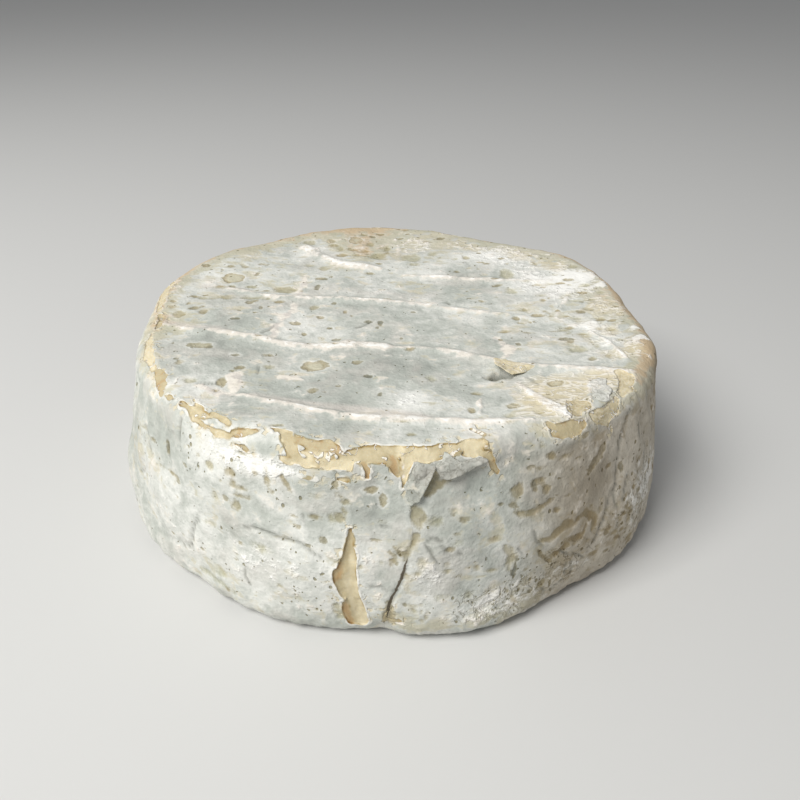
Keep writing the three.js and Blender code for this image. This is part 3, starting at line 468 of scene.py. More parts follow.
# Where the bloom is thick and white, or grey and close-cropped: direction, down, reaches, amount.
BLOOM_AREAS = [
    (240, 3, 8, 3, 0.35), (246, 3.8, 8, 2, 0.4), (250, 3.4, 6, 1.5, 0.5), (248, 0.7, 3, 1.1, -1.0),
    (235, 12, 7, 5, -0.15), (248, 21, 11, 6, 0.4), (224, 20, 9, 8, 0.14), (216, 12, 4, 4, 0.2),
    (215, 5, 10, 5, -0.35), (223, 7, 5, 4, -0.3), (256, 12, 8, 3, -0.1), (256, 5.5, 5, 2, -0.35),
    (262, 6, 4, 3, -0.2), (267, 3, 3, 2, 0.25), (267, 8, 5, 4, -0.9), (264, 15, 4, 3, 0.25),
    (267.6, 25, 2, 6, 0.1), (282, 8, 6, 5, -0.5), (292, 6, 6, 4, -0.4), (283, 14, 5, 5, -0.25),
    (292, 0, 6, 2.6, -1.3), (290, 28, 6, 3, 0.2), (297, 3, 3, 1.6, 0.5), (312, -2, 9, 3, 0.35),
    (335, -3, 6, 2, 0.5), (330, 1.5, 4, 1.5, 0.3), (295, 9, 4, 2.5, -0.8), (303, 3, 7, 2.5, -0.4),
    (300, 10, 8, 4, -0.3), (309, 11, 5, 4, -0.4), (322, 6, 8, 6, 0.1), (274, 26, 4, 5, -0.05),
    (277, 20, 4, 4, 0.45), (283, 24, 4, 3, -0.25), (292, 14, 5, 4, -0.2), (286, 27, 8, 4, 0.35),
    (303, 27, 10, 4, 0.3), (316, 26, 4, 4, -0.4), (326, 20, 12, 8, 0.55), (20, 10, 20, 8, -0.3),
    (95, 14, 20, 9, -0.2), (150, 12, 14, 9, 0.2), (60, 24, 20, 6, 0.2),
]
BLOOM_TOP = [
    (-3, 0, 7, -0.25), (9, -7, 9, -0.25), (-10, -18, 8, -0.28), (0, -23, 9, -0.35),
    (10, -28, 8, -0.28), (-28, -4, 6, -0.6), (-38, 3, 4, -0.3), (-34, -12, 6, -0.36),
    (-25, -16, 7, -0.36), (-12, -30, 7, -0.4), (15, 12, 7, -0.35), (18, 22, 5, -0.25),
    (-8, 16, 7, -0.15), (22, -17, 4, -0.2), (-22, -38, 6, -0.4), (-8, -42, 7, -0.5),
    (3, -33, 3.5, 0.6), (0, -37, 4, 0.2), (-20, -4, 4, 0.25), (35, 14, 9, 0.8), (26, 29, 7, 0.5),
    (8, 36, 5, 0.35), (20, 31, 5, 0.3), (40, 17, 4, 0.4), (32, -7, 7, 0.25), (42, -12, 4, 0.4),
    (39, -6, 4, 0.3), (39.5, 17.8, 1.7, 1.0), (44, 12.2, 1.2, 1.0), (44.1, 0.8, 1, 0.8),
    (45.4, -8.4, 1, 1.0), (45.6, -12.9, 1.1, 1.0), (41.4, 2.5, 1.2, 0.6), (37.8, -5.6, 1.4, 0.6),
    (25.4, -37, 2, 0.6), (38, -15, 3, 0.3), (7, 9, 4, 0.2), (-3, 12, 4, 0.25), (28, 2, 4, -0.2),
    (-27, -30, 4, 0.2), (-38, -28, 4, 0.3), (-44, -12, 3, 0.3), (8, 19, 4, 0.3), (-16, 32, 5, 0.35),
    (15, -34, 3, 0.15), (6, -43, 5, -0.15), (-18, -43, 4, 0.1), (-24, 17, 5, -0.05),
    (-30, -20, 5, -0.2), (-33, 26, 4, 0.25), (-38, 16, 4, 0.2), (-20, -27, 4, -0.3),
    (22, -40, 3, 0.3), (0, 27, 5, 0.15), (-24, 24, 5, 0.05),
]

# Where fine veins of bloom cross a beige ground: x, y, reach, how much.
VEINED_TOP = [
    (27, -31, 6.5, 1.1), (23, -37, 4, 0.7), (36, -27, 4, 0.9), (38, -18, 4, 0.5), (36, 24, 5, 0.65),
    (42, 2, 6, 0.7), (29, 31, 5, 0.6), (41, -9, 4, 0.6), (17, 36, 5, 0.6), (5, 40, 5, 0.5),
    (43, -17, 3, 0.6),
]

# Where the rind is netted with fine creases: direction, down, reaches, how much.
ROUGH_AREAS = [
    (302, 24, 7, 5, 1.3), (291, 27, 8, 4, 1.0), (271, 15, 2.5, 3, 0.8), (306, 3.5, 5, 2, 0.6),
    (215, 14, 16, 14, 0.3), (325, 20, 12, 12, 0.75), (60, 14, 30, 12, 0.5), (140, 18, 30, 12, 0.5),
    (282, 25, 6, 4, 0.4), (235, 6, 6, 4, 0.4), (290, 29, 25, 3, 0.5),
]

# Clusters of tiny dark pits: direction, down, reaches, how many.
PIT_AREAS = [
    (256, 24, 3.5, 5, 1.2), (252, 18, 3, 4, 0.4), (233, 7, 5, 3, 0.8), (241, 4, 6, 3, 0.4),
    (250, 8, 5, 3, 0.35), (286, 27, 8, 3, 0.9), (297, 24, 8, 5, 1.1), (271, 15, 3, 4, 0.2),
    (326, 18, 12, 12, 0.9), (272, 25, 4, 2, 0.2), (275, 28, 3, 2, 0.2), (222, 11, 6, 2, 0.3),
    (20, 12, 40, 14, 0.35), (120, 16, 40, 14, 0.3), (240, 23, 8, 4, 0.3),
]

# Flaps of rind curled off the paste: an outline of places, each with its direction, down and lift.
FLAPS = [
    [(273.2, 2.9, 0.1), (273.5, 1.7, 0.3), (274.2, 0.7, 0.5), (275.2, 1, 0.7), (276.2, 1.1, 0.8),
     (277.3, 1.3, 0.9), (276.8, 2.4, 0.9), (275.7, 4.3, 0.8), (274.9, 5.8, 0.7), (274.6, 6.6, 0.6),
     (273.8, 6.9, 0.3), (273, 7.6, -0.1), (272.2, 6.4, -0.4), (272, 4.6, -0.4), (272.6, 3.8, -0.2)],
    [(277.2, 1.8, 0.5), (277.5, 0.9, 0.3), (278.4, 0.9, 0.2), (279, -0.4, 0.1), (279.5, -0.3, 0.1),
     (279.8, 0.8, 0.2), (281, 0.8, 0.2), (282, 1.2, 0.2), (282.8, 1.2, 0.1), (284, 0.9, 0),
     (285, 0.9, 0), (286.2, 1.2, 0), (286.5, 1.6, 0.1), (284.8, 2, 0.4), (283.2, 2.5, 0.5),
     (281.5, 2.9, 0.6), (279.8, 3.3, 0.7), (278.9, 3.3, 0.7), (278, 2.6, 0.7)],
    [(320.2, -7, -0.2), (321.4, -6.2, -0.1), (321.6, -4.8, 0.1), (319.8, -4, 0), (318.6, -2.4, 0.1),
     (316.4, -1.8, 0), (315.4, -0.9, 0), (313.6, -1.6, -0.1), (313.2, -2.6, 0), (314.4, -4, -0.2),
     (316.4, -5.2, -0.1), (318, -6.6, -0.2)],
]
FLAP_THICKNESS = 0.4
FLAP_FIELDS = [
    {"bloom": -0.55, "dry_and_shaded": 0.1}, {"bloom": -0.5, "dry_and_shaded": 0.1}, {"bloom": 0.1, "dry_and_shaded": 0.15},
    {"bare": -0.8, "depth": 0.2, "tone": -0.2},
]

TONE_REACH = 0.35  # strokes of bare paste blend into each other over this distance

# Fineness of the mesh.
TOP_RINGS = 96
UNDER_RINGS = 48
SEGMENTS = 6 * TOP_RINGS
ROUNDING_ROWS = 11
WALL_ROWS = 58
TORN_SIDE = CRACK[-1][1]
CROWDING = 0.3
LEAN_REACH = 22.0


def linear(red, green, blue):
    """A colour given as 8-bit display values, as the linear values that Blender wants."""
    shares = [v / 255 for v in (red, green, blue)]
    return tuple(s / 12.92 if s <= 0.04045 else ((s + 0.055) / 1.055) ** 2.4 for s in shares)


# ---- settings --------------------------------------------------------------------------------


def colour_property(name, description, *display):
    """A colour that a user may change, with its default in 8-bit display values."""
    return FloatVectorProperty(
        name=name, description=description, default=linear(*display), subtype="COLOR", size=3, min=0, max=1
    )


class WheelForm(bpy.types.PropertyGroup):
    """Sizes of the wheel's relief"""

    ridge_height: FloatProperty(
        name="Rack ridges", description="Height of the ridges left by the ripening rack",
        default=0.5 * MM, min=0, max=2 * MM, subtype="DISTANCE", unit="LENGTH", precision=5,
    )
    lip: FloatProperty(
        name="Rind lip", description="How far the rind's edge curls up beside bare paste",
        default=0.1 * MM, min=0, max=1 * MM, subtype="DISTANCE", unit="LENGTH", precision=5,
    )
    seed: IntProperty(name="Seed", description="Start of the random draws", default=7, min=0)


class WheelFinish(bpy.types.PropertyGroup):
    """Colours of the rind and the paste"""

    grey: colour_property("Close rind", "Rind where the bloom is short and grey", 178, 182, 174)
    white: colour_property("Bloom", "Thick white bloom", 229, 229, 223)
    crust: colour_property("Crust", "Whitest bloom, at edges and on crumbs", 246, 245, 240)
    cream: colour_property("Ridges", "Rack ridges and smears", 238, 231, 219)
    pink: colour_property("Blush", "Pinkish bands beside the ridges", 211, 203, 195)
    beige: colour_property("Thin rind", "Rind where the bloom is worn thin", 192, 184, 154)
    olive: colour_property("Light spots", "Pale olive spots", 180, 175, 146)
    brown: colour_property("Brown spots", "Brown spots and stains", 146, 131, 103)
    # Painted shade: the colour laid into the creases, and the painted shadow in the crater.
    dark: colour_property("Dark spots", "Darkest spots, pits and creases", 104, 105, 96)
    # Painted shade: these two are darker, browner copies of Close rind and Bloom. They are laid where the
    # wall turns away from the key light: the right-hand wall, the far side and the lapped corner.
    shaded_grey: colour_property("Dry rind, dark", "Darker rind of the dry side", 164, 153, 135)
    shaded_white: colour_property("Dry rind, light", "Lighter rind of the dry side", 199, 191, 176)
    straw: colour_property("Straw", "Ground between fine veins of bloom", 216, 205, 175)
    paste: colour_property("Paste", "Bare paste", 219, 207, 175)
    aged: colour_property("Aged paste", "Bare paste that has begun to dry", 188, 175, 141)
    ochre: colour_property("Old paste", "Bare paste that has dried", 180, 153, 112)
    tan: colour_property("Rim tan", "Rind worn through along the far rim", 196, 174, 140)
    pale: colour_property("Spot middle", "Pale middle of a ringed spot", 200, 197, 176)


class WheelStudio(bpy.types.PropertyGroup):
    """Camera and lights"""

    distance: FloatProperty(
        name="Camera distance", description="From the camera to the middle of the wheel's foot",
        default=171.4 * MM, min=0.1, max=2, subtype="DISTANCE", unit="LENGTH",
    )
    height_angle: FloatProperty(
        name="Camera height angle", description="Angle of the camera above the floor",
        default=math.radians(35.0), min=0, max=math.pi / 2, subtype="ANGLE", unit="ROTATION",
    )
    floor: colour_property("Floor", "Floor and backdrop", 205, 205, 203)
    key: FloatProperty(name="Key light", description="Power of the large soft light", default=6.4, min=0)
    sky: FloatProperty(
        name="Surroundings", description="Strength of the light from all round",
        default=0.3, min=0,
    )


# ---- small helpers ---------------------------------------------------------------------------


def turn_between(angle, other):
    """Signed difference between directions, in degrees."""
    return (np.asarray(angle) - other + 180) % 360 - 180


def bell(x):
    return np.exp(-np.square(x))


def smoothstep(x, low, high):
    share = np.clip((x - low) / (high - low), 0, 1)
    return share * share * (3 - 2 * share)


def swell_at(swells, angle):
    return sum(out * bell(turn_between(angle, at) / wide) for at, wide, out in swells)


def lumps(points, wavelength, start):
    """Rolling unevenness with the given wavelength, between about -1 and 1."""
    golden = math.pi * (3 - math.sqrt(5))
    waves = 6
    total = np.zeros(len(points))
    for i in range(waves):
        up = 1 - 2 * (i + 0.5) / waves
        flat = math.sqrt(1 - up * up)
        turn = golden * (i + start)
        along = points @ np.array([flat * math.cos(turn), flat * math.sin(turn), up])
        total += np.sin(2 * math.pi * along / (wavelength * (1 + 0.13 * i)) + 2.4 * i + start)
    return total / math.sqrt(waves * 1.5)


def smooth_noise(points, size, seed):
    """Smooth random unevenness with features of about the given size, between about -1 and 1."""
    random = np.random.default_rng(seed)
    order = random.permutation(256)
    slopes = random.normal(size=(256, 3))
    slopes /= np.linalg.norm(slopes, axis=1)[:, None]
    scaled = points / size + 100
    cell = np.floor(scaled).astype(int)
    part = scaled - cell
    ease = part**3 * (part * (part * 6 - 15) + 10)
    total = np.zeros(len(points))
    for corner in np.ndindex(2, 2, 2):
        x, y, z = (cell + corner).T & 255
        index = order[(order[(order[x] + y) & 255] + z) & 255]
        weight = np.where(corner, ease, 1 - ease).prod(axis=1)
        total += weight * ((part - corner) * slopes[index]).sum(axis=1)
    return 1.7 * total


def rough_noise(points, size, seed, octaves=3):
    """Smooth noise with finer and fainter noise added to it."""
    return sum(smooth_noise(points, size / 2**i, seed + i) / 2**i for i in range(octaves))


def at_height(z):
    """Direction of the crack at a height on the wall."""
    heights, directions = zip(*reversed(CRACK))
    return np.interp(z, heights, directions)


# ---- the smooth body -------------------------------------------------------------------------


def rim_radius(angle):
    return RIM_RADIUS + swell_at(RIM_SWELLS, angle)


def foot_radius(angle):
    return FOOT_RADIUS + swell_at(FOOT_SWELLS, angle)


def on_top(angle, t):
    """Place on the top face, t from 0 in its middle to 1 where the rounding starts."""
    edge = rim_radius(angle) - RIM_ROUNDING
    return angle, edge * t, HEIGHT - TOP_SAG * (1 - t * t), math.pi / 2, -edge * (1 - t) - QUARTER


def on_rim(angle, t):
    """Place on the rounded rim, t from 0 at the top face to 1 at the wall."""
    tilt = math.pi / 2 * (1 - t)
    r = rim_radius(angle) - RIM_ROUNDING * (1 - np.cos(tilt))
    return angle, r, HEIGHT - RIM_ROUNDING * (1 - np.sin(tilt)), tilt, RIM_ROUNDING * (math.pi / 4 - tilt)


def on_wall(angle, t):
    """Place on the wall, t from 0 under the rim to 1 above the foot."""
    z = HEIGHT - RIM_ROUNDING + (FOOT_ROUNDING - HEIGHT + RIM_ROUNDING) * t
    r = rim_radius(angle) * (1 - t) + foot_radius(angle) * t + WALL_BULGE * np.sin(math.pi * t)
    return angle, r, z, 0.0, HEIGHT - z - WALL_START


def on_foot(angle, t):
    """Place on the rounded foot, t from 0 at the wall to 1 at the underside."""
    tilt = -math.pi / 2 * t
    r = foot_radius(angle) - FOOT_ROUNDING * (1 - np.cos(tilt))
    down = HEIGHT - FOOT_ROUNDING - WALL_START - FOOT_ROUNDING * tilt
    return angle, r, FOOT_ROUNDING * (1 + np.sin(tilt)), tilt, down


def under(angle, t):
    """Place on the flat underside, t from 0 in its middle to 1 at the foot's rounding."""
    edge = foot_radius(angle) - FOOT_ROUNDING
    return angle, edge * t, 0.0, -math.pi / 2, HEIGHT + edge * (1 - t)


def at_down(angle, down):
    """Place round the rim or on the wall, by its direction and its distance down from the rim."""
    if down < -QUARTER:
        edge = rim_radius(angle) - RIM_ROUNDING
        return on_top(angle, 1 + (down + QUARTER) / edge)
    if down <= QUARTER:
        return on_rim(angle, (down / QUARTER + 1) / 2)
    z = HEIGHT - WALL_START - down
    t = (HEIGHT - RIM_ROUNDING - z) / (HEIGHT - RIM_ROUNDING - FOOT_ROUNDING)
    return on_wall(angle, min(t, 1.0))


def point_of(place):
    """Point in millimetres at one place."""
    angle, r, z = place[:3]
    return np.array([r * math.cos(math.radians(angle)), r * math.sin(math.radians(angle)), z])


def top_place(x, y):
    """Place on the top face above x, y."""
    angle = math.degrees(math.atan2(y, x))
    return on_top(angle, math.hypot(x, y) / (rim_radius(angle) - RIM_ROUNDING))


def side_stroke(nodes):
    """A stroke given by direction, down and half width, as points and half widths."""
    return np.array([point_of(at_down(a, d)) for a, d, _ in nodes]), np.array([n[2] for n in nodes])


def top_stroke(nodes):
    """A stroke given by x, y and half width, as points and half widths."""
    return np.array([point_of(top_place(x, y)) for x, y, _ in nodes]), np.array([n[2] for n in nodes])


def outside(points, stroke):
    """Distance in millimetres from points to the edge of a stroke, negative inside it."""
    line, halves = stroke
    nearest = np.full(len(points), np.inf)
    low = line.min(axis=0) - halves.max() - 3
    high = line.max(axis=0) + halves.max() + 3
    near = ((points > low) & (points < high)).all(axis=1)
    local = points[near]
    found = np.full(len(local), np.inf)
    for start, end, first, last in zip(line, line[1:], halves, halves[1:]):
        along = end - start
        share = np.clip((local - start) @ along / (along @ along), 0, 1)
        gap = np.linalg.norm(local - start - share[:, None] * along, axis=1)
        found = np.minimum(found, gap - first - (last - first) * share)
    nearest[near] = found
    return nearest


# ---- the lattice of places -------------------------------------------------------------------


class Lattice:
    """Places on the wheel joined into one closed surface of triangles."""

    def __init__(self):
        self.rows = []
        self.faces = []
        self.count = 0

    def add(self, place, angles):
        """Adds one ring of places and returns the number of its first."""
        angle, r, z, tilt, down = place
        row = np.empty((len(angles), 5))
        for column, values in enumerate((angle, r, z, tilt, down)):
            row[:, column] = values
        self.rows.append(row)
        first = self.count
        self.count += len(angles)
        return first

    def join(self, *corners):
        self.faces.append(np.stack(corners, axis=1))

    def bridge(self, upper, lower, count):
        """Joins two rings with the same count of places, the upper one first."""
        here = np.arange(count)
        onward = (here + 1) % count
        self.join(upper + here, lower + here, lower + onward)
        self.join(upper + here, lower + onward, upper + onward)

    def disc_step(self, inner, outer, k, facing_up):
        """Joins ring k - 1 of a disc to ring k, which has six more places."""
        sector, i = np.divmod(np.arange(6 * k), k)
        inner_count = max(6 * (k - 1), 1)
        a = inner + (sector * (k - 1) + i) % inner_count
        b = outer + sector * k + i
        c = outer + (sector * k + i + 1) % (6 * k)
        self.join(*((a, b, c) if facing_up else (a, c, b)))
        keep = i < k - 1
        d = inner + (sector * (k - 1) + i + 1) % inner_count
        self.join(*((a[keep], c[keep], d[keep]) if facing_up else (a[keep], d[keep], c[keep])))


def ring_angles(count, crowding, height):
    """Directions of a ring's places, closer together on the torn side and leaning with the crack."""
    part = np.arange(count) / count
    angle = 360 * part + TORN_SIDE - crowding * 360 * np.sin(2 * math.pi * part) / (2 * math.pi)
    shift = at_height(height) - TORN_SIDE
    return angle + shift * bell(turn_between(angle, TORN_SIDE) / LEAN_REACH)


def wheel_lattice():
    """The whole surface, from the middle of the top face to the middle of the underside."""
    lattice = Lattice()
    inner = lattice.add(on_top(0.0, 0.0), [0])
    for k in range(1, TOP_RINGS + 1):
        t = k / TOP_RINGS
        angles = ring_angles(6 * k, CROWDING * t * t, HEIGHT * t * t)
        outer = lattice.add(on_top(angles, t), angles)
        lattice.disc_step(inner, outer, k, True)
        inner = outer
    steps = [(on_rim, ROUNDING_ROWS), (on_wall, WALL_ROWS), (on_foot, ROUNDING_ROWS)]
    for place, rows in steps:
        for i in range(1, rows + 1):
            height = place(0.0, i / rows)[2]
            angles = ring_angles(SEGMENTS, CROWDING, height)
            outer = lattice.add(place(angles, i / rows), angles)
            lattice.bridge(inner, outer, SEGMENTS)
            inner = outer
    rings = {}
    for k in range(UNDER_RINGS, -1, -1):
        t = k / (UNDER_RINGS + 1)
        angles = ring_angles(max(6 * k, 1), CROWDING * t * t, 0)
        rings[k] = lattice.add(under(angles, t), angles)
    count = 6 * UNDER_RINGS
    here = np.arange(count)
    onward = (here + 1) % count
    lattice.join(outer + 2 * here, rings[UNDER_RINGS] + here, outer + 2 * here + 1)
    lattice.join(outer + 2 * here + 1, rings[UNDER_RINGS] + onward, outer + (2 * here + 2) % SEGMENTS)
    lattice.join(outer + 2 * here + 1, rings[UNDER_RINGS] + here, rings[UNDER_RINGS] + onward)
    for k in range(UNDER_RINGS, 0, -1):
        lattice.disc_step(rings[k - 1], rings[k], k, False)
    return np.concatenate(lattice.rows), np.concatenate(lattice.faces)


# ---- forms and marks as fields over the places --------------------------------------------------


def rack_line(x, y):
    """Signed distance in millimetres from the nearest wire of the ripening rack."""
    turn = math.radians(RACK_TURN)
    across = y * math.cos(turn) - x * math.sin(turn) - RACK_FIRST
    return across - RACK_PITCH * np.round(across / RACK_PITCH)


def area_sum(areas, angle, down):
    """Sum of the soft areas round the rim and wall at each place."""
    return sum(
        amount * bell(turn_between(angle, at) / wide) * bell((down - deep) / reach)
        for at, deep, wide, reach, amount in areas
    )


def top_sum(areas, points):
    """Sum of the soft areas of the top face at each point."""
    return sum(
        amount * bell(np.hypot(points[:, 0] - x, points[:, 1] - y) / reach)
        for x, y, reach, amount in areas
    )


def nearest_gap(points, strokes, as_stroke):
    """Distance in millimetres from points to the nearest stroke of a list, negative inside."""
    return np.minimum.reduce([outside(points, as_stroke(nodes)) for nodes in strokes])


def bare_field(points):
    """Distance in to the rind from the nearest bare paste, with that paste's depth and tone."""
    ragged = 0.4 * rough_noise(points, 2.8, 31, 2) + 0.22 * smooth_noise(points, 1.1, 37)
    strokes = [(*stroke, 1.0) for stroke in BARE_STROKES + HIDDEN_PEELS]
    strokes += [(*stroke, 0.4) for stroke in TEAR_STROKES]
    nearest = np.full(len(points), 3.0)
    weights = np.full(len(points), 1e-6)
    depths = 0.5 * weights
    tones = 0.5 * weights
    for depth, tone, nodes, raggedness in strokes:
        gap = outside(points, side_stroke(nodes))
        nearest = np.minimum(nearest, gap + raggedness * ragged)
        weight = np.exp(-gap / TONE_REACH)
        weights += weight
        depths += weight * depth
        tones += weight * tone
    return nearest, depths / weights, tones / weights


def scattered_spots(seed):
    """Small spots drawn at random, as places on the wall and on the top face."""
    random = np.random.default_rng(seed)
    spots = []

    def add(place, largest):
        size = SMALLEST_SPOT + (largest - SMALLEST_SPOT) * random.random() ** 2
        long = size * random.uniform(1, 2)
        tone = random.uniform(0.25, 0.85)
        spots.append((place, long, size, tone, random.random() < 0.1))

    for at, deep, wide, reach, count in SCATTER_WALL:
        for _ in range(count):
            add(at_down(at + wide * random.uniform(-1, 1), deep + reach * random.uniform(-1, 1)), 0.6)
    for x, y, reach, count in SCATTER_TOP:
        for _ in range(count):
            turn = random.uniform(0, 2 * math.pi)
            far = reach * math.sqrt(random.random())
            place = top_place(x + far * math.cos(turn), y + far * math.sin(turn))
            if place[4] < -QUARTER:
                add(place, 0.75)
    return spots


def named_spots():
    """The large spots that have a place of their own."""
    top = [(top_place(x, y), *looks) for x, y, *looks in TOP_SPOTS]
    wall = [(at_down(angle, down), *looks) for angle, down, *looks in WALL_SPOTS]
    return top + wall


def spot_field(points, seed):
    """Distance out from the nearest spot, that spot's tone, and whether its middle is pale."""
    bend = 0.3 * smooth_noise(points, 1.6, 41) + 0.14 * smooth_noise(points, 0.7, 43)
    nearest = np.full(len(points), 2.0)
    tone = np.zeros(len(points))
    ring = np.zeros(len(points))

    def settle(gap, near, shade, ringed):
        gap = gap * (0.5 + 0.5 * smoothstep(shade, 0.3, 0.55))
        closer = gap < nearest[near]
        index = np.flatnonzero(near)[closer]
        nearest[index], tone[index], ring[index] = gap[closer], shade, ringed

    for place, long, wide, shade, ringed in named_spots() + scattered_spots(seed):
        centre = point_of(place)
        turn = math.radians(place[0])
        if place[3] > 1:
            along, up = np.array([1.0, 0, 0]), np.array([0, 1.0, 0])
        else:
            along, up = np.array([-math.sin(turn), math.cos(turn), 0]), np.array([0, 0, 1.0])
        near = np.abs(points - centre).max(axis=1) < long + wide + 2
        local = points[near] - centre
        flat = np.hypot(local @ along / long, local @ up / wide)
        settle((flat - 1) * min(long, wide) + bend[near] * min(1.8, wide + 0.3), near, shade, ringed)
    for shade, nodes in WALL_STAINS:
        gap = outside(points, side_stroke(nodes)) + 1.3 * bend
        settle(gap, np.ones(len(points), bool), shade, 0.0)
    return nearest, tone, ring


def relief_fields(places, points, form):
    """Every field of the wheel: heights in millimetres, and the values that the materials read."""
    angle, _, z, tilt, down = places.T
    x, y = points[:, 0], points[:, 1]
    upward = np.maximum(0, np.sin(tilt))
    sideways = np.cos(tilt)
    beneath = np.maximum(0, -np.sin(tilt))

    bare, depth, tone = bare_field(points)
    spot, spot_tone, ring = spot_field(points, form.seed)

    wander = 0.3 * smooth_noise(points, 3.5, 51) + 0.15 * smooth_noise(points, 1.4, 52)
    ridge_gap = nearest_gap(points, RIDGES, top_stroke) + wander
    ridge = 1 - smoothstep(ridge_gap, -1.0, 1.05)
    thread_gap = nearest_gap(points, RAISED_THREADS, top_stroke) + 0.5 * wander
    thread = 1 - smoothstep(thread_gap, -0.4, 0.35)
    band = 1 - smoothstep(nearest_gap(points, BANDS, top_stroke) + wander, -0.9, 0.8)
    smear_gap = nearest_gap(points, SMEARS, top_stroke) + 0.6 * smooth_noise(points, 2.4, 57)
    smear = 1 - smoothstep(smear_gap, -0.9, 0.8)
    crater = 1 - smoothstep(outside(points, top_stroke(CRATER)) + 0.5 * wander, -0.35, 0.3)

    fold = 1 - smoothstep(nearest_gap(points, FOLD_STROKES, side_stroke) + 0.5 * wander, -0.5, 0.6)
    creases = np.minimum(
        nearest_gap(points, WALL_CREASES, side_stroke),
        nearest_gap(points, TOP_CREASES, top_stroke),
    )
    shaded_crease = 1 - smoothstep(creases + 0.1 * smooth_noise(points, 0.9, 59), -0.05, 0.3)

    crack_side = turn_between(angle, at_height(z)) * math.radians(1) * FOOT_RADIUS
    crack_ends = smoothstep(z, 2, 6)
    lift = CRACK_LIFT * (1 - 0.7 * smoothstep(z, 5, 14))
    lifted = np.where(crack_side < 0, lift * bell(crack_side / LIFT_REACH), 0)
    open_share = 1 - smoothstep(z, CRACK_OPEN_BELOW, CRACK_SHUT_ABOVE)
    groove = crack_ends * open_share * bell((crack_side - 0.3) / CRACK_HALF_WIDTH) * (sideways > 0.3)
    notch = bell(turn_between(angle, NOTCH_AT) / NOTCH_WIDE) * (1 - smoothstep(z, 2, NOTCH_UP))

    left_folds = bell(turn_between(angle, LEFT_FOLDS_AT) / LEFT_FOLDS_WIDE)
    right_folds = bell(turn_between(angle, RIGHT_FOLDS_AT) / RIGHT_FOLDS_WIDE)
    upright = np.sin(np.radians(angle * 14) + 0.25 * z + 1.2 * smooth_noise(points, 6, 61))
    wrinkles = rough_noise(np.stack([points[:, 0], points[:, 1], 0.3 * points[:, 2]], 1), 1.6, 63, 2)
    leaning = np.stack([np.radians(angle) * RIM_RADIUS + 0.35 * z, 0 * z, 0.22 * z], 1)
    leaning = rough_noise(leaning, 2.2, 64, 2)
    corner = bell(turn_between(angle, LAPPED_CORNER_AT) / LAPPED_CORNER_WIDE) * bell(down / RIM_ROUNDING)

    ridge_height = form.ridge_height / MM
    top = ridge_height * ridge + THREAD_HEIGHT * thread + 0.3 * lumps(points, 17, 1) - CRATER_DEPTH * crater
    top = top + 0.06 * smear - 0.25 * shaded_crease
    wall = crack_ends * lifted - CRACK_DEPTH * groove - NOTCH_DEEP * notch - FOLD_DEPTH * fold - 0.2 * shaded_crease
    uneven = 0.24 * smooth_noise(points, 9, 65) + 0.12 * smooth_noise(points, 4.5, 67)
    wall = wall + 0.28 * left_folds * upright + 0.4 * lumps(points, 15, 5)
    wall = wall + 0.26 * left_folds * wrinkles + 0.26 * right_folds * leaning
    common = upward * top + sideways * (wall + uneven) + LAPPED_CORNER_OUT * corner
    rack = bell(rack_line(x, y) / RACK_HALF_WIDTH)
    common = common - beneath * 0.2 * ridge_height * rack
    common = common + 0.25 * bell((z - 1) / 3) * (tilt <= 0) * rough_noise(points, 1.8, 81) * np.cos(tilt)

    rough = area_sum(ROUGH_AREAS, angle, down) * sideways
    felt = 0.13 * rough_noise(points, 4.2, 71, 2) + 0.025 * smooth_noise(points, 1.1, 75)
    felt = felt + 0.14 * rough * rough_noise(points, 1.8, 76, 2)
    curl = 0.5 + 0.5 * smooth_noise(points, 3, 77)
    lip = form.lip / MM * bell(np.maximum(bare, 0) / 0.9) * np.clip(curl, 0, 1) * smoothstep(depth, 0.1, 0.3)
    dimple = -0.16 * (1 - smoothstep(spot, -0.4, 0.15)) + 0.1 * ring * (1 - smoothstep(spot, -1.4, -0.5))
    rind = felt + lip + dimple

    # The dry side's rind is browner. The dry side, the far side and the lapped corner are also painted darker
    # as painted shade.
    from_dry = turn_between(angle, DRY_SIDE_AT)
    dry = smoothstep(from_dry, -14, 6) * (1 - smoothstep(from_dry, 45, 75))
    shaded_side = dry * smoothstep(down, -1, 4)
    far_side = bell(turn_between(angle, FAR_SIDE_AT) / FAR_SIDE_WIDE)
    dry_and_shaded = shaded_side + 0.5 * far_side * smoothstep(down, 2, 8) + corner
    return {
        "common": common,
        "rind_height": rind,
        "tilt": tilt,
        "depth": depth,
        "bare": bare,
        "tone": tone,
        "spot": spot,
        "spot_tone": spot_tone,
        "ring": ring,
        "ridge": np.clip(np.maximum(ridge, thread) * upward, 0, 1),
        "band": band * upward,
        "smear": smear * upward,
        "thin": area_sum(THIN_AREAS, angle, down) + upward * top_sum(THIN_TOP, points),
        "bloom": sideways * area_sum(BLOOM_AREAS, angle, down) + upward * top_sum(BLOOM_TOP, points),
        # Painted shade along the creases, and a painted shadow in the crater.
        "shaded_crease": np.clip(0.7 * shaded_crease + 1.6 * upward * crater, 0, 1),
        "crack": crack_side,
        "crack_open": crack_ends * open_share * bell(crack_side / 1.5) * (sideways > 0.3),
        "pits": area_sum(PIT_AREAS, angle, down) * sideways,
        "dry_and_shaded": np.clip(dry_and_shaded, 0, 1),
        "vein": upward * top_sum(VEINED_TOP, points),
        "rough": rough,
    }


SHADER_FIELDS = (
    "bare", "tone", "spot", "spot_tone", "ring", "ridge", "band", "smear", "thin", "bloom", "shaded_crease",
    "pits", "dry_and_shaded", "vein", "rough", "depth", "crack", "crack_open",
)
PLAIN_FIELDS = {"bare": 3.0, "spot": 2.0}  # every other field is nothing on a piece without marks


# ---- cutting the rind away from bare paste ----------------------------------------------------


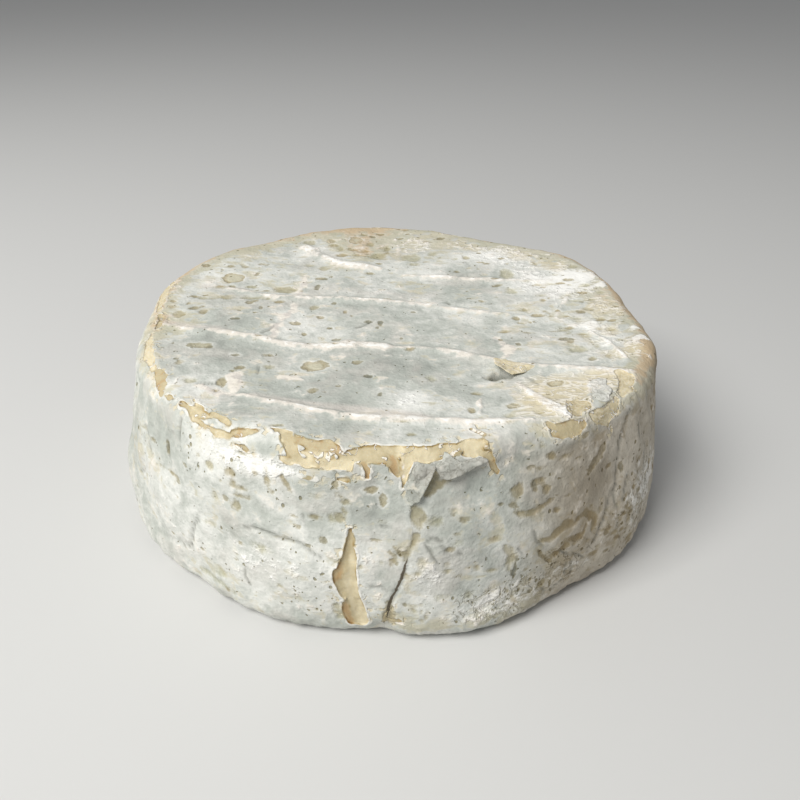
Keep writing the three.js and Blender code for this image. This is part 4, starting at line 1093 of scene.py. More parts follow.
def cut_bare(faces, base, normal, fields):
    """Splits the surface along the edge of each bare place, and drops the paste below the rind.

    Returns points, triangles, each triangle's material and the fields of every point.
    """
    bare = fields["bare"]
    is_rind = bare >= 0
    kinds = is_rind[faces].sum(axis=1)
    whole = (kinds == 0) | (kinds == 3)
    mixed = faces[~whole]
    lone_is_rind = kinds[~whole] == 1
    lone = np.argmax(is_rind[mixed] == lone_is_rind[:, None], axis=1)
    index = np.arange(len(mixed))
    a, b, c = (mixed[index, (lone + step) % 3] for step in range(3))

    pairs = np.sort(np.concatenate([np.stack([a, b], 1), np.stack([a, c], 1)]), axis=1)
    edges, which = np.unique(pairs, axis=0, return_inverse=True)
    which = which.ravel()
    first, second = edges.T
    share = np.clip(bare[first] / (bare[first] - bare[second]), 0.12, 0.88)[:, None]

    def between(values):
        spread = share if values.ndim == 2 else share[:, 0]
        return values[first] * (1 - spread) + values[second] * spread

    start = len(base)
    cuts = len(edges)
    upper_p, upper_q = start + which[: len(mixed)], start + which[len(mixed):]
    lower_p, lower_q = upper_p + cuts, upper_q + cuts

    def pick(lone_value, other_value):
        return np.where(lone_is_rind, lone_value, other_value)

    lone_p, lone_q = pick(upper_p, lower_p), pick(upper_q, lower_q)
    far_p, far_q = pick(lower_p, upper_p), pick(lower_q, upper_q)
    step_a = np.stack([pick(upper_q, upper_p), pick(upper_p, upper_q), pick(lower_p, lower_q)], 1)
    step_b = np.stack([pick(upper_q, upper_p), pick(lower_p, lower_q), pick(lower_q, lower_p)], 1)
    triangles = np.concatenate([
        faces[whole],
        np.stack([a, lone_p, lone_q], 1),
        np.stack([far_p, b, c], 1),
        np.stack([far_p, c, far_q], 1),
        step_a,
        step_b,
    ])
    material = np.concatenate([
        (kinds[whole] == 0).astype(int),
        (~lone_is_rind).astype(int),
        lone_is_rind.astype(int),
        lone_is_rind.astype(int),
        np.ones(2 * len(mixed), int),
    ])
    inside = np.maximum(-bare, 0)
    sunk = fields["depth"] * (0.4 + 0.6 * smoothstep(inside, 0, 1.2))
    height = fields["common"] + np.where(is_rind, fields["rind_height"], -sunk)
    upper = between(fields["common"]) + between(fields["rind_height"])
    shallow = 1 - smoothstep(between(fields["depth"]), 0.15, 0.3)
    lower = between(fields["common"]) - 0.4 * between(fields["depth"])
    lower = lower + shallow * between(fields["rind_height"])
    all_base = np.concatenate([base, between(base), between(base)])
    all_normal = np.concatenate([normal, between(normal), between(normal)])
    all_height = np.concatenate([height, upper, lower])
    new_fields = {}
    for name in (*SHADER_FIELDS, "tilt"):
        edge_values = between(fields[name])
        new_fields[name] = np.concatenate([fields[name], edge_values, edge_values])
    new_fields["bare"][start:] = 0
    return all_base + all_normal * all_height[:, None], triangles, material, new_fields


def set_fields(mesh, fields):
    """Writes the values that the materials read onto the mesh's points."""
    for name in SHADER_FIELDS:
        values = np.broadcast_to(fields.get(name, PLAIN_FIELDS.get(name, 0.0)), len(mesh.vertices))
        attribute = mesh.attributes.new(name, "FLOAT", "POINT")
        attribute.data.foreach_set("value", np.ascontiguousarray(values, np.float32))


MAP_SCALE = 1 / 216  # of the bake map, for each millimetre
MAP_MARGIN = 0.02
TOP_DISC = (0.25, 0.75)
UNDER_DISC = (0.75, 0.75)
SIDE_STRIPS = (0.02, 0.25)
DISC_TILT = 0.8


def add_bake_map(mesh, points, faces, tilt):
    """A flat map of the wheel for baking: its two faces as discs, and its side as two strips."""
    corners = points[faces]
    flat = corners[:, :, :2] * MAP_SCALE
    middle = corners.mean(axis=1)
    turn = np.arctan2(middle[:, 1], middle[:, 0]) % (2 * math.pi)
    ahead = np.arctan2(corners[:, :, 1], corners[:, :, 0]) - turn[:, None]
    ahead = (ahead + math.pi) % (2 * math.pi) - math.pi
    second = turn > math.pi
    along = (ahead + (turn - math.pi * second)[:, None]) * FOOT_RADIUS * MAP_SCALE + MAP_MARGIN
    up = corners[:, :, 2] * MAP_SCALE + np.where(second, *reversed(SIDE_STRIPS))[:, None]
    lean = tilt[faces].mean(axis=1)[:, None, None]
    chart = np.where(lean < -DISC_TILT, flat * (1, -1) + UNDER_DISC, np.stack([along, up], axis=2))
    chart = np.where(lean > DISC_TILT, flat + TOP_DISC, chart)
    layer = mesh.uv_layers.new(name="OFBake")
    layer.data.foreach_set("uv", np.ascontiguousarray(chart, np.float32).ravel())


def new_mesh(name, points, faces, materials, material_index=None):
    """A smooth-shaded mesh object from points in millimetres."""
    mesh = bpy.data.meshes.new(name)
    mesh.from_pydata((points * MM).tolist(), [], faces.tolist())
    for material in materials:
        mesh.materials.append(material)
    if material_index is not None:
        mesh.polygons.foreach_set("material_index", material_index.astype(np.int32))
    mesh.polygons.foreach_set("use_smooth", np.ones(len(mesh.polygons), bool))
    mesh.update()
    piece = bpy.data.objects.new(name, mesh)
    bpy.context.scene.collection.objects.link(piece)
    return piece


# ---- materials -------------------------------------------------------------------------------


class Tree:
    """A material's node tree, with short calls for the nodes that the finishes use."""

    def __init__(self, name):
        self.material = bpy.data.materials.new(name)
        self.material.use_nodes = True
        self.nodes = self.material.node_tree.nodes
        self.links = self.material.node_tree.links
        self.shader = self.nodes["Principled BSDF"]
        self.where = self.nodes.new("ShaderNodeTexCoord").outputs["Object"]

    def plug(self, socket, value):
        if isinstance(value, bpy.types.NodeSocket):
            self.links.new(value, socket)
        elif hasattr(value, "__len__") and len(value) == 3 and len(socket.default_value) == 4:
            socket.default_value = (*value, 1)
        else:
            socket.default_value = value

    def value(self, name):
        """One of the mesh's fields."""
        node = self.nodes.new("ShaderNodeAttribute")
        node.attribute_name = name
        return node.outputs["Fac"]

    def noise(self, size, detail=2.0, roughness=0.5, distortion=0.0, stretch=None):
        """Noise around zero, with features of a size in millimetres, longer where stretch is below 1."""
        node = self.nodes.new("ShaderNodeTexNoise")
        self.plug(node.inputs["Vector"], self.stretched(stretch) if stretch else self.where)
        node.inputs["Scale"].default_value = 1 / (size * MM)
        node.inputs["Detail"].default_value = detail
        node.inputs["Roughness"].default_value = roughness
        node.inputs["Distortion"].default_value = distortion
        return self.math("SUBTRACT", node.outputs["Fac"], 0.5)

    def stretched(self, stretch):
        """The place on the piece with each axis scaled, so that what reads it is drawn out."""
        node = self.nodes.new("ShaderNodeMapping")
        self.plug(node.inputs["Vector"], self.where)
        node.inputs["Scale"].default_value = stretch
        return node.outputs["Vector"]

    def cells(self, size, stretch):
        """Random cells of a size in millimetres: distance from each cell's middle, and its draw."""
        node = self.nodes.new("ShaderNodeTexVoronoi")
        self.plug(node.inputs["Vector"], self.stretched(stretch))
        node.inputs["Scale"].default_value = 1 / (size * MM)
        draw = self.nodes.new("ShaderNodeSeparateColor")
        self.plug(draw.inputs["Color"], node.outputs["Color"])
        return node.outputs["Distance"], draw.outputs[0]

    def math(self, operation, *values):
        node = self.nodes.new("ShaderNodeMath")
        node.operation = operation
        for socket, value in zip(node.inputs, values):
            self.plug(socket, value)
        return node.outputs[0]

    def total(self, *terms):
        """Sum of sockets, each given alone or as (socket, weight)."""
        result = None
        for term in terms:
            socket, weight = term if isinstance(term, tuple) else (term, 1.0)
            result = self.math("MULTIPLY_ADD", socket, weight, 0.0 if result is None else result)
        return result

    def step(self, value, low, high):
        """0 below low and 1 above high, with a soft change between. High may be the lower one."""
        node = self.nodes.new("ShaderNodeMapRange")
        node.interpolation_type = "SMOOTHSTEP"
        self.plug(node.inputs["Value"], value)
        rising = low < high
        node.inputs["From Min"].default_value = low if rising else high
        node.inputs["From Max"].default_value = high if rising else low
        node.inputs["To Min"].default_value = 0.0 if rising else 1.0
        node.inputs["To Max"].default_value = 1.0 if rising else 0.0
        return node.outputs["Result"]

    def blend(self, share, under, over):
        """Mixes two colours."""
        node = self.nodes.new("ShaderNodeMix")
        node.data_type = "RGBA"
        node.clamp_factor = True
        self.plug(node.inputs[0], share)
        self.plug(node.inputs[6], under)
        self.plug(node.inputs[7], over)
        return node.outputs[2]

    def stain(self, share, under, tint):
        """Multiplies a colour by a tint."""
        result = self.blend(share, under, tint)
        result.node.blend_type = "MULTIPLY"
        return result

    def bump(self, height, depth, strength=1.0):
        """Connects a bump of a depth in millimetres to the shader."""
        node = self.nodes.new("ShaderNodeBump")
        node.inputs["Strength"].default_value = strength
        node.inputs["Distance"].default_value = depth * MM
        self.plug(node.inputs["Height"], height)
        self.plug(self.shader.inputs["Normal"], node.outputs["Normal"])


def shade(colour, factor):
    """A colour made lighter or darker."""
    return tuple(min(1.0, c * factor) for c in colour)


def rind_material(finish):
    """Bloomy rind: grey felt under white bloom, with worn patches, spots, pits and cream ridges. Painted
    shade darkens walls turned from the key light, the creases, the crack and the edges of bare paste, and a
    painted shadow darkens the crater.
    """
    tree = Tree("Bloomy rind")
    bare, spot, spot_tone, ring, depth = (
        tree.value(n) for n in ("bare", "spot", "spot_tone", "ring", "depth")
    )
    ridge, band, smear, thin, bloom, shaded_crease, pits, dry_and_shaded, vein, rough = (
        tree.value(n)
        for n in ("ridge", "band", "smear", "thin", "bloom", "shaded_crease", "pits", "dry_and_shaded", "vein", "rough")
    )
    cloudy = tree.noise(12, 2, 0.5, 0.4)
    patchy = tree.noise(4.6, 3, 0.55, 0.6)
    speckled = tree.noise(1.5, 2, 0.5, 0.2)
    grain = tree.noise(0.5, 1, 0.5)

    def over(colour, share, amount, cover):
        """Lays another colour over what is there, at most by the given amount."""
        return tree.blend(tree.math("MULTIPLY", share, amount), colour, cover)

    whiteness = tree.total((bloom, 1.0), (cloudy, 1.7), (patchy, 1.7), (speckled, 0.9), (grain, 0.5))
    colour = tree.blend(tree.step(whiteness, -0.58, 0.72), finish.grey, finish.white)
    colour = over(colour, tree.step(whiteness, -0.4, -1.1), 0.8, shade(finish.grey, 0.72))
    creamy = tree.total((cloudy, -1.2), (tree.noise(7, 3, 0.6, 0.5), 2.2))
    colour = over(colour, tree.step(creamy, -0.1, 0.5), 0.3, shade(finish.pink, 1.1))
    # Painted shade: darker dry-side copies of the rind's colours, laid where the wall turns away from the key
    # light.
    dry = tree.blend(tree.step(whiteness, -0.62, 0.5), finish.shaded_grey, finish.shaded_white)
    colour = over(colour, dry_and_shaded, 0.9, dry)

    drawn = tree.noise(2.2, 3, 0.55, 0.4, stretch=(0.5, 1.0, 1.0))
    worn = tree.total((thin, 1.0), (patchy, 1.9), (drawn, 1.5), (speckled, 0.5), (grain, 0.4), (cloudy, 0.5))
    worn_share = tree.step(worn, 0.16, 0.56)
    beige = tree.blend(tree.step(creamy, -0.3, 0.4), finish.olive, finish.beige)
    beige = tree.blend(dry_and_shaded, beige, shade(finish.brown, 1.1))
    colour = over(colour, worn_share, 0.62, tree.blend(tree.step(worn, 0.9, 1.5), beige, finish.tan))
    colour = over(colour, tree.step(worn, 1.0, 1.6), 0.7, finish.tan)
    crusted = tree.total((bloom, 1.3), (patchy, 1.5), (speckled, 1.5), (grain, 0.6))
    crust = tree.step(crusted, 0.42, 0.9)
    colour = over(colour, crust, 0.85, finish.crust)

    threads = tree.math("ABSOLUTE", tree.noise(1.9, 2, 0.5, 1.2, stretch=(0.4, 1.0, 1.0)))
    vein_share = tree.step(tree.total((vein, 1.0), (patchy, 1.3), (speckled, 0.8)), 0.3, 0.5)
    lines = tree.math("MULTIPLY", tree.step(threads, 0.06, 0.02), vein_share)
    ground = tree.blend(tree.step(patchy, -0.12, 0.12), shade(finish.straw, 0.92), finish.straw)
    ground_share = tree.math("MULTIPLY", vein_share, tree.step(vein, 0.2, 0.9))
    colour = over(colour, ground_share, 0.9, ground)
    colour = over(colour, lines, 0.6, tree.blend(0.5, finish.crust, finish.cream))

    colour = over(colour, band, 0.6, finish.pink)
    smear_share = tree.step(tree.total((smear, 1.0), (speckled, 1.6), (patchy, 0.8)), 0.3, 0.9)
    smear_colour = tree.blend(tree.step(speckled, -0.08, 0.1), finish.pink, finish.cream)
    colour = over(colour, smear_share, 0.8, smear_colour)
    ridge_share = tree.step(tree.total((ridge, 1.0), (patchy, 2.2), (speckled, 1.4), (grain, 0.4)), 0.2, 0.8)
    colour = over(colour, ridge_share, 0.82, tree.blend(0.7, finish.pink, finish.cream))
    core = tree.total((ridge, 1.0), (patchy, 2.0), (speckled, 1.8), (bloom, 0.4))
    colour = over(colour, tree.step(core, 0.72, 1.08), 0.85, finish.crust)

    spot_edge = tree.total((spot, 1.0), (speckled, 0.5), (grain, 0.35))
    spot_share = tree.step(spot_edge, 0.3, -0.42)
    uneven = tree.step(tree.total((patchy, 1.0), (speckled, 1.3), (grain, 0.4)), -0.12, 0.16)
    spot_share = tree.math("MULTIPLY", spot_share, tree.math("MULTIPLY_ADD", uneven, -0.32, 1.16))
    tint = tree.blend(tree.step(spot_tone, 0.2, 0.65), linear(232, 230, 213), linear(211, 200, 174))
    tint = tree.blend(tree.step(spot_tone, 0.68, 0.95), tint, linear(184, 184, 176))
    halo = tree.math("MULTIPLY", tree.step(spot_edge, 0.6, 0.15), tree.math("MULTIPLY_ADD", ring, 0.5, 0.26))
    # Painted shade: on the shaded side the halo takes the darker dry-side white.
    colour = over(colour, halo, 0.6, tree.blend(dry_and_shaded, finish.white, finish.shaded_white))
    colour = tree.stain(spot_share, colour, tint)
    inner = tree.math("MULTIPLY", tree.step(tree.total((spot_edge, 1.0), (patchy, 1.5)), -0.45, -0.95), ring)
    colour = over(colour, inner, 0.75, finish.pale)
    outline = tree.math("MULTIPLY", tree.step(spot_edge, 0.12, 0.0), tree.step(spot_edge, -0.4, -0.1))
    outline = tree.math("MULTIPLY", outline, tree.math("MAXIMUM", tree.step(spot_tone, 0.45, 0.9), ring))
    colour = tree.stain(outline, colour, linear(228, 224, 212))

    fleck_noise = tree.noise(1.0, 2, 0.5, 0.3)
    flecks = tree.step(tree.total((fleck_noise, 1.0), (pits, 0.03), (thin, 0.02)), 0.2, 0.26)
    pit_distance, pit_draw = tree.cells(1.15, (0.85, 1.0, 0.6))
    chosen = tree.math("LESS_THAN", pit_draw, tree.math("MULTIPLY_ADD", pits, 0.5, 0.01))
    pit = tree.math("MULTIPLY", tree.step(pit_distance, 0.26, 0.14), chosen)
    dot_distance, dot_draw = tree.cells(0.66, (1.0, 1.0, 0.75))
    dotted = tree.math("LESS_THAN", dot_draw, tree.math("MULTIPLY_ADD", pits, 0.46, -0.06))
    dots = tree.math("MULTIPLY", tree.step(dot_distance, 0.28, 0.16), dotted)
    dash_distance, dash_draw = tree.cells(1.5, (1.0, 1.0, 0.42))
    dashed = tree.math("LESS_THAN", dash_draw, tree.math("MULTIPLY_ADD", rough, 0.55, -0.12))
    dash_edge = tree.total((dash_distance, 1.0), (grain, 0.3))
    dashes = tree.math("MULTIPLY", tree.step(dash_edge, 0.24, 0.12), dashed)
    pit = tree.math("MAXIMUM", tree.math("MAXIMUM", tree.math("MAXIMUM", pit, flecks), dots), dashes)
    colour = tree.stain(pit, colour, linear(190, 184, 162))

    netted = tree.step(tree.math("ABSOLUTE", tree.noise(3.0, 3, 0.6, 0.5)), 0.045, 0.0)
    where = tree.step(tree.total((rough, 1.0), (tree.noise(6, 2, 0.5), 1.0)), 0.5, 0.8)
    netted = tree.math("MULTIPLY", tree.math("MULTIPLY", netted, where), 0.5)
    colour = tree.stain(netted, colour, linear(194, 188, 170))

    peek = tree.math("MULTIPLY", tree.step(bare, 1.9, 0.5), tree.step(tree.noise(1.2, 2, 0.5), 0.06, 0.16))
    colour = over(colour, peek, 0.75, shade(finish.paste, 0.93))
    ragged = tree.noise(2.6, 2, 0.5)
    shallow = tree.step(depth, 0.55, 0.48)
    edge = tree.total(
        (bare, 1.0), (ragged, 2.2), (bloom, -0.5), (dry_and_shaded, 0.35), (speckled, 0.8), (shallow, -0.12),
    )
    worn_deep = tree.step(depth, 0.14, 0.3)
    lip_amount = tree.math("MULTIPLY_ADD", worn_deep, 0.65, 0.35)
    lip = tree.math("MULTIPLY", tree.step(edge, 0.28, -0.06), lip_amount)
    # Painted shade: on the shaded side the lip takes the darker dry-side white.
    lip_colour = tree.blend(dry_and_shaded, tree.blend(0.4, finish.crust, finish.cream), finish.shaded_white)
    colour = over(colour, lip, 0.5, lip_colour)
    # Painted shade: the rind darkens along the edge of bare paste, more where the peel is deeper.
    edge_shade = tree.math("MULTIPLY", tree.step(bare, 0.3, 0.05), tree.step(ragged, -0.02, 0.08))
    edge_shade = tree.math("MULTIPLY", edge_shade, tree.math("MULTIPLY_ADD", worn_deep, 0.75, 0.25))
    colour = tree.stain(edge_shade, colour, linear(206, 192, 160))
    # Painted shade in the creases, and a painted shadow in the crater.
    colour = over(colour, shaded_crease, 0.85, finish.dark)
    # Painted shadow: a thin dark line down the crack where it is open.
    beside = tree.math("ABSOLUTE", tree.total((tree.value("crack"), 1.0), (speckled, 0.6), (grain, 0.3)))
    crack_shadow = tree.math("MULTIPLY", tree.value("crack_open"), 0.28)
    crack_shadow = tree.math("SUBTRACT", crack_shadow, beside)
    colour = over(colour, tree.step(crack_shadow, -0.06, 0.08), 0.92, shade(finish.brown, 0.38))
    tree.plug(tree.shader.inputs["Base Color"], colour)

    tree.plug(tree.shader.inputs["Roughness"], tree.math("MULTIPLY_ADD", spot_share, -0.18, 0.88))
    tree.shader.inputs["Specular IOR Level"].default_value = 0.3
    height = tree.total(
        (worn_share, -0.3), (pit, -0.6), (speckled, 0.9), (grain, 0.35), (netted, -0.8), (crust, 0.5),
        (peek, -0.5), (spot_share, -0.3), (lines, 0.3), (patchy, 0.8), (lip, 0.3),
    )
    tree.bump(height, 0.24)
    return tree.material


def paste_material(finish):
    """Bare paste: pale where it is fresh and moist, ochre where it has dried, with crumbs of bloom, and with
    painted shade along the rind's edge.
    """
    tree = Tree("Bare paste")
    bare, tone, depth = tree.value("bare"), tree.value("tone"), tree.value("depth")
    shallow = tree.step(depth, 0.44, 0.38)
    cloudy = tree.noise(3.0, 2, 0.5, 0.5)
    grainy = tree.noise(0.9, 2, 0.5)
    streaked = tree.noise(1.3, 2, 0.5, stretch=(1.0, 1.0, 0.3))
    dryness = tree.total((tone, 1.0), (cloudy, 1.0), (streaked, 0.7), (grainy, 0.3))
    colour = tree.blend(tree.step(dryness, 0.0, 0.62), finish.paste, finish.aged)
    colour = tree.blend(tree.step(dryness, 0.6, 1.0), colour, finish.ochre)
    colour = tree.blend(tree.step(dryness, -0.15, -0.4), colour, finish.cream)
    colour = tree.blend(tree.step(dryness, 1.0, 1.4), colour, shade(finish.ochre, 0.66))
    # Painted shade: the paste darkens along the rind's edge, more where the peel is deeper.
    edge_shade = tree.math("MULTIPLY", tree.step(bare, -0.35, 0.0), tree.step(cloudy, -0.06, 0.08))
    edge_shade = tree.math("MULTIPLY", edge_shade, tree.math("MULTIPLY_ADD", tree.step(depth, 0.14, 0.3), 0.6, 0.4))
    colour = tree.stain(edge_shade, colour, linear(214, 198, 162))
    arcs = tree.math("SINE", tree.total((bare, 11.0), (cloudy, 22.0)))
    arcs = tree.math("MULTIPLY", tree.step(arcs, 0.1, 0.9), tree.step(depth, 0.28, 0.16))
    arcs = tree.math("MULTIPLY", arcs, tree.step(tone, 0.55, 0.35))
    colour = tree.blend(tree.math("MULTIPLY", arcs, 0.4), colour, tree.blend(0.5, finish.paste, finish.cream))
    crumbs = tree.total((bare, 0.45), (tree.noise(1.3, 2, 0.5, 0.4), 3.4), (cloudy, 1.4), (depth, -1.1))
    threads = tree.step(tree.math("ABSOLUTE", tree.noise(2.2, 2, 0.5, 1.2)), 0.03, 0.012)
    threads = tree.math("MULTIPLY", threads, tree.step(cloudy, 0.06, 0.14))
    crumb_share = tree.math("MAXIMUM", tree.step(crumbs, 0.08, 0.28), threads)
    crumb_share = tree.math("MULTIPLY", crumb_share, shallow)
    crumb_colour = tree.blend(0.4, finish.crust, finish.cream)
    colour = tree.blend(tree.math("MULTIPLY", crumb_share, 0.75), colour, crumb_colour)
    tree.plug(tree.shader.inputs["Base Color"], colour)
    tree.plug(tree.shader.inputs["Roughness"], tree.math("MULTIPLY_ADD", grainy, 0.3, 0.6))
    tree.shader.inputs["Specular IOR Level"].default_value = 0.35
    tree.shader.inputs["Subsurface Weight"].default_value = 0.08
    tree.shader.inputs["Subsurface Radius"].default_value = (1.0, 0.75, 0.45)
    tree.shader.inputs["Subsurface Scale"].default_value = MM
    tree.bump(tree.total((cloudy, 0.8), (grainy, 0.5), (crumb_share, 0.7)), 0.25)
    return tree.material


def finish_materials(scene):
    """The two finishes, made once and shared by every piece."""
    found = [bpy.data.materials.get(name) for name in ("Bloomy rind", "Bare paste")]
    if all(found):
        return found
    return [rind_material(scene.wheel_finish), paste_material(scene.wheel_finish)]


# ---- operators -------------------------------------------------------------------------------


def frame_shift(points):
    """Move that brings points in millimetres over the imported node."""
    middle = (points.min(axis=0) + points.max(axis=0)) / 2
    target = (np.array(NODE_LOW) + np.array(NODE_HIGH)) / 2 / MM
    return np.array([target[0] - middle[0], target[1] - middle[1], 0])


class CHEESE_OT_wheel(bpy.types.Operator):
    """Builds the wheel: one closed solid with rind, bare paste, tear and crack"""

    bl_idname = "cheese.wheel"
    bl_label = "Cheese Wheel"
    bl_options = {"REGISTER", "UNDO"}

    def execute(self, context):
        places, faces = wheel_lattice()
        turn = np.radians(places[:, 0])
        flat = np.cos(places[:, 3])
        base = np.stack([places[:, 1] * np.cos(turn), places[:, 1] * np.sin(turn), places[:, 2]], 1)
        normal = np.stack([flat * np.cos(turn), flat * np.sin(turn), np.sin(places[:, 3])], 1)
        fields = relief_fields(places, base, context.scene.wheel_form)
        points, triangles, material, fields = cut_bare(faces, base, normal, fields)
        points[:, 2] = np.maximum(points[:, 2], 0)
        points += frame_shift(points)
        wheel = new_mesh("wheel", points, triangles, finish_materials(context.scene), material)
        set_fields(wheel.data, fields)
        add_bake_map(wheel.data, points, triangles, fields["tilt"])
        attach(wheel, "root")
        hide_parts(NODE)
        return {"FINISHED"}


class CHEESE_OT_flaps(bpy.types.Operator):
    """Builds the flaps of rind that have curled off the wheel"""

    bl_idname = "cheese.flaps"
    bl_label = "Rind Flaps"
    bl_options = {"REGISTER", "UNDO"}

    def execute(self, context):
        leaf = [(*itemgetter(0, 4)(top_place(x, y)), lift) for x, y, lift in LEAF]
        rind, paste = finish_materials(context.scene)
        for number, (outline, fields) in enumerate(zip([*FLAPS, leaf], FLAP_FIELDS), 1):
            points, faces = flap_solid(np.array(outline), number)
            material = paste if "tone" in fields else rind
            flap = new_mesh(f"rind_flap_{number}", points, faces, [material])
            set_fields(flap.data, fields)
            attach(flap, "root")
        return {"FINISHED"}


FLAP_RINGS = 12
FLAP_POINTS = 96


def flap_solid(outline, seed):
    """Points and faces of one thin curled flap of rind, from its outline of places and lifts."""
    outline[:, 0] = outline[0, 0] + turn_between(outline[:, 0], outline[0, 0])
    corners = np.arange(len(outline) + 1)
    walk = np.linspace(0, len(outline), FLAP_POINTS, endpoint=False)
    edge = np.stack([np.interp(walk, corners, np.append(c, c[0])) for c in outline.T], 1)
    middle = edge.mean(axis=0)
    middle[2] *= 0.7
    sides = {}
    for side in (1, -1):
        rows = []
        for ring in range(1, FLAP_RINGS + 1):
            share = ring / FLAP_RINGS
            half = FLAP_THICKNESS / 2 * math.sqrt(1 - share**6 * 0.96)
            for angle, down, lift in middle + (edge - middle) * [share, share, share**2]:
                place = at_down(angle, down)
                turn, tilt = math.radians(angle), place[3]
                flat = math.cos(tilt)
                out = np.array([flat * math.cos(turn), flat * math.sin(turn), math.sin(tilt)])
                rows.append(point_of(place) + out * (lift + FLAP_THICKNESS / 2 + side * half))
        sides[side] = np.array(rows)
    points = np.concatenate([
        sides[1],
        sides[-1],
        sides[1][:FLAP_POINTS].mean(axis=0)[None],
        sides[-1][:FLAP_POINTS].mean(axis=0)[None],
    ])
    wobble = np.stack([smooth_noise(points, 1.6, 80 + seed + i) for i in range(3)], 1)
    finer = np.stack([smooth_noise(points, 0.7, 90 + seed + i) for i in range(3)], 1)
    points = points + 0.16 * wobble + 0.07 * finer
    here = np.arange(FLAP_POINTS)
    onward = (here + 1) % FLAP_POINTS
    under = FLAP_RINGS * FLAP_POINTS
    faces = []
    for ring in range(FLAP_RINGS - 1):
        inner, outer = ring * FLAP_POINTS, (ring + 1) * FLAP_POINTS
        faces += [
            (outer + onward, outer + here, inner + here),
            (inner + onward, outer + onward, inner + here),
            (under + outer + here, under + outer + onward, under + inner + here),
            (under + outer + onward, under + inner + onward, under + inner + here),
        ]
    rim = under - FLAP_POINTS
    faces += [
        (under + rim + onward, under + rim + here, rim + here),
        (rim + onward, under + rim + onward, rim + here),
        (onward, here, np.full(FLAP_POINTS, 2 * under)),
        (under + here, under + onward, np.full(FLAP_POINTS, 2 * under + 1)),
    ]
    return points, np.concatenate([np.stack(corners, axis=1) for corners in faces])


class CHEESE_OT_studio(bpy.types.Operator):
    """Builds the floor, the lights and the camera"""

    bl_idname = "cheese.studio"
    bl_label = "Studio"
    bl_options = {"REGISTER", "UNDO"}

    def execute(self, context):
        settings = context.scene.wheel_studio
        add_floor(settings)
        add_light("Key", settings.key, KEY_SIZE, KEY_PLACE, KEY_COLOUR)
        add_camera(settings)
        world = bpy.data.worlds.new("Surroundings")
        world.use_nodes = True
        background = world.node_tree.nodes["Background"]
        background.inputs["Color"].default_value = SKY_COLOUR
        background.inputs["Strength"].default_value = settings.sky
        context.scene.world = world
        context.scene.view_settings.view_transform = "Standard"
        return {"FINISHED"}


FLOOR_HALF = 4.0  # metres, as are the size and places of the light
KEY_SIZE = 0.4
KEY_PLACE = (-0.36, -0.33, 0.6)
KEY_AIM = (0, 0, 0.02)
KEY_COLOUR = (1.0, 0.99, 0.97)
SKY_COLOUR = (0.97, 0.98, 1.0, 1)
VIEW_TURN = math.radians(0.634)  # the camera looks this far to the right of the wheel's middle
VIEW_LIFT = math.radians(3.968)  # and this far above the middle of its foot
VIEW_ROLL = math.radians(0.32)
LENS = 35.29
SENSOR = 36.0


def add_floor(settings):
    """A plain pale floor."""
    tree = Tree("Floor")
    tree.shader.inputs["Base Color"].default_value = (*settings.floor, 1)
    tree.shader.inputs["Roughness"].default_value = 0.9
    corners = np.array([(-1, -1, 0), (1, -1, 0), (1, 1, 0), (-1, 1, 0)], float) * FLOOR_HALF / MM
    floor = new_mesh("floor", corners, np.array([[0, 1, 2, 3]]), [tree.material])


def add_light(name, power, size, place, colour):
    """A square soft light that faces the wheel."""
    data = bpy.data.lights.new(name, "AREA")
    data.energy = power
    data.size = size
    data.color = colour
    light = bpy.data.objects.new(name, data)
    light.location = place
    light.rotation_euler = (Vector(KEY_AIM) - Vector(place)).to_track_quat("-Z", "Y").to_euler()
    bpy.context.scene.collection.objects.link(light)


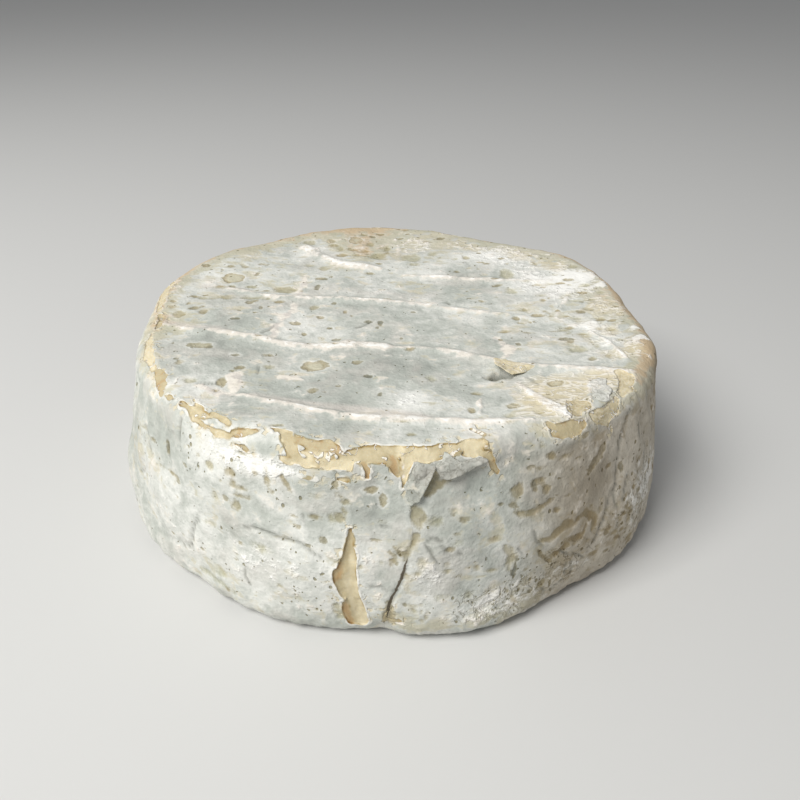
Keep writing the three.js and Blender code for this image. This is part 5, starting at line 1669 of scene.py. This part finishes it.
def add_camera(settings):
    """A camera close in front of the wheel, looking down on it."""
    down = settings.height_angle
    place = Vector((0, -math.cos(down), math.sin(down))) * settings.distance
    pitch = down - VIEW_LIFT
    forward = Vector((
        math.sin(VIEW_TURN),
        math.cos(pitch) * math.cos(VIEW_TURN),
        -math.sin(pitch) * math.cos(VIEW_TURN),
    )).normalized()
    right = forward.cross(Vector((0, 0, 1))).normalized()
    up = right.cross(forward)
    turned_right = right * math.cos(VIEW_ROLL) + up * math.sin(VIEW_ROLL)
    turned_up = up * math.cos(VIEW_ROLL) - right * math.sin(VIEW_ROLL)
    data = bpy.data.cameras.new("Camera")
    data.lens = LENS
    data.sensor_width = SENSOR
    data.clip_start = 0.01
    camera = bpy.data.objects.new("Camera", data)
    axes = Matrix((turned_right, turned_up, -forward)).transposed()
    camera.matrix_world = Matrix.Translation(place) @ axes.to_4x4()
    bpy.context.scene.collection.objects.link(camera)
    bpy.context.scene.camera = camera


class CHEESE_PT_panel(bpy.types.Panel):
    """Lists the pieces of the cheese wheel"""

    bl_label = "Cheese Wheel"
    bl_idname = "CHEESE_PT_panel"
    bl_space_type = "VIEW_3D"
    bl_region_type = "UI"
    bl_category = "Food"

    def draw(self, context):
        for group in (context.scene.wheel_form, context.scene.wheel_finish, context.scene.wheel_studio):
            box = self.layout.box()
            for name in group.__annotations__:
                box.prop(group, name)
        for operator in OPERATORS:
            self.layout.operator(operator.bl_idname)


GROUPS = {"wheel_form": WheelForm, "wheel_finish": WheelFinish, "wheel_studio": WheelStudio}
OPERATORS = (CHEESE_OT_wheel, CHEESE_OT_flaps, CHEESE_OT_studio)


def register():
    for group in (*GROUPS.values(), *OPERATORS, CHEESE_PT_panel):
        bpy.utils.register_class(group)
    for name, group in GROUPS.items():
        setattr(bpy.types.Scene, name, PointerProperty(type=group))


def unregister():
    for name in GROUPS:
        delattr(bpy.types.Scene, name)
    for group in (CHEESE_PT_panel, *reversed(OPERATORS), *reversed(list(GROUPS.values()))):
        bpy.utils.unregister_class(group)


def main():
    """Builds every piece in order."""
    register()
    bpy.ops.cheese.wheel()
    bpy.ops.cheese.flaps()
    bpy.ops.cheese.studio()


if __name__ == "__main__":
    main()
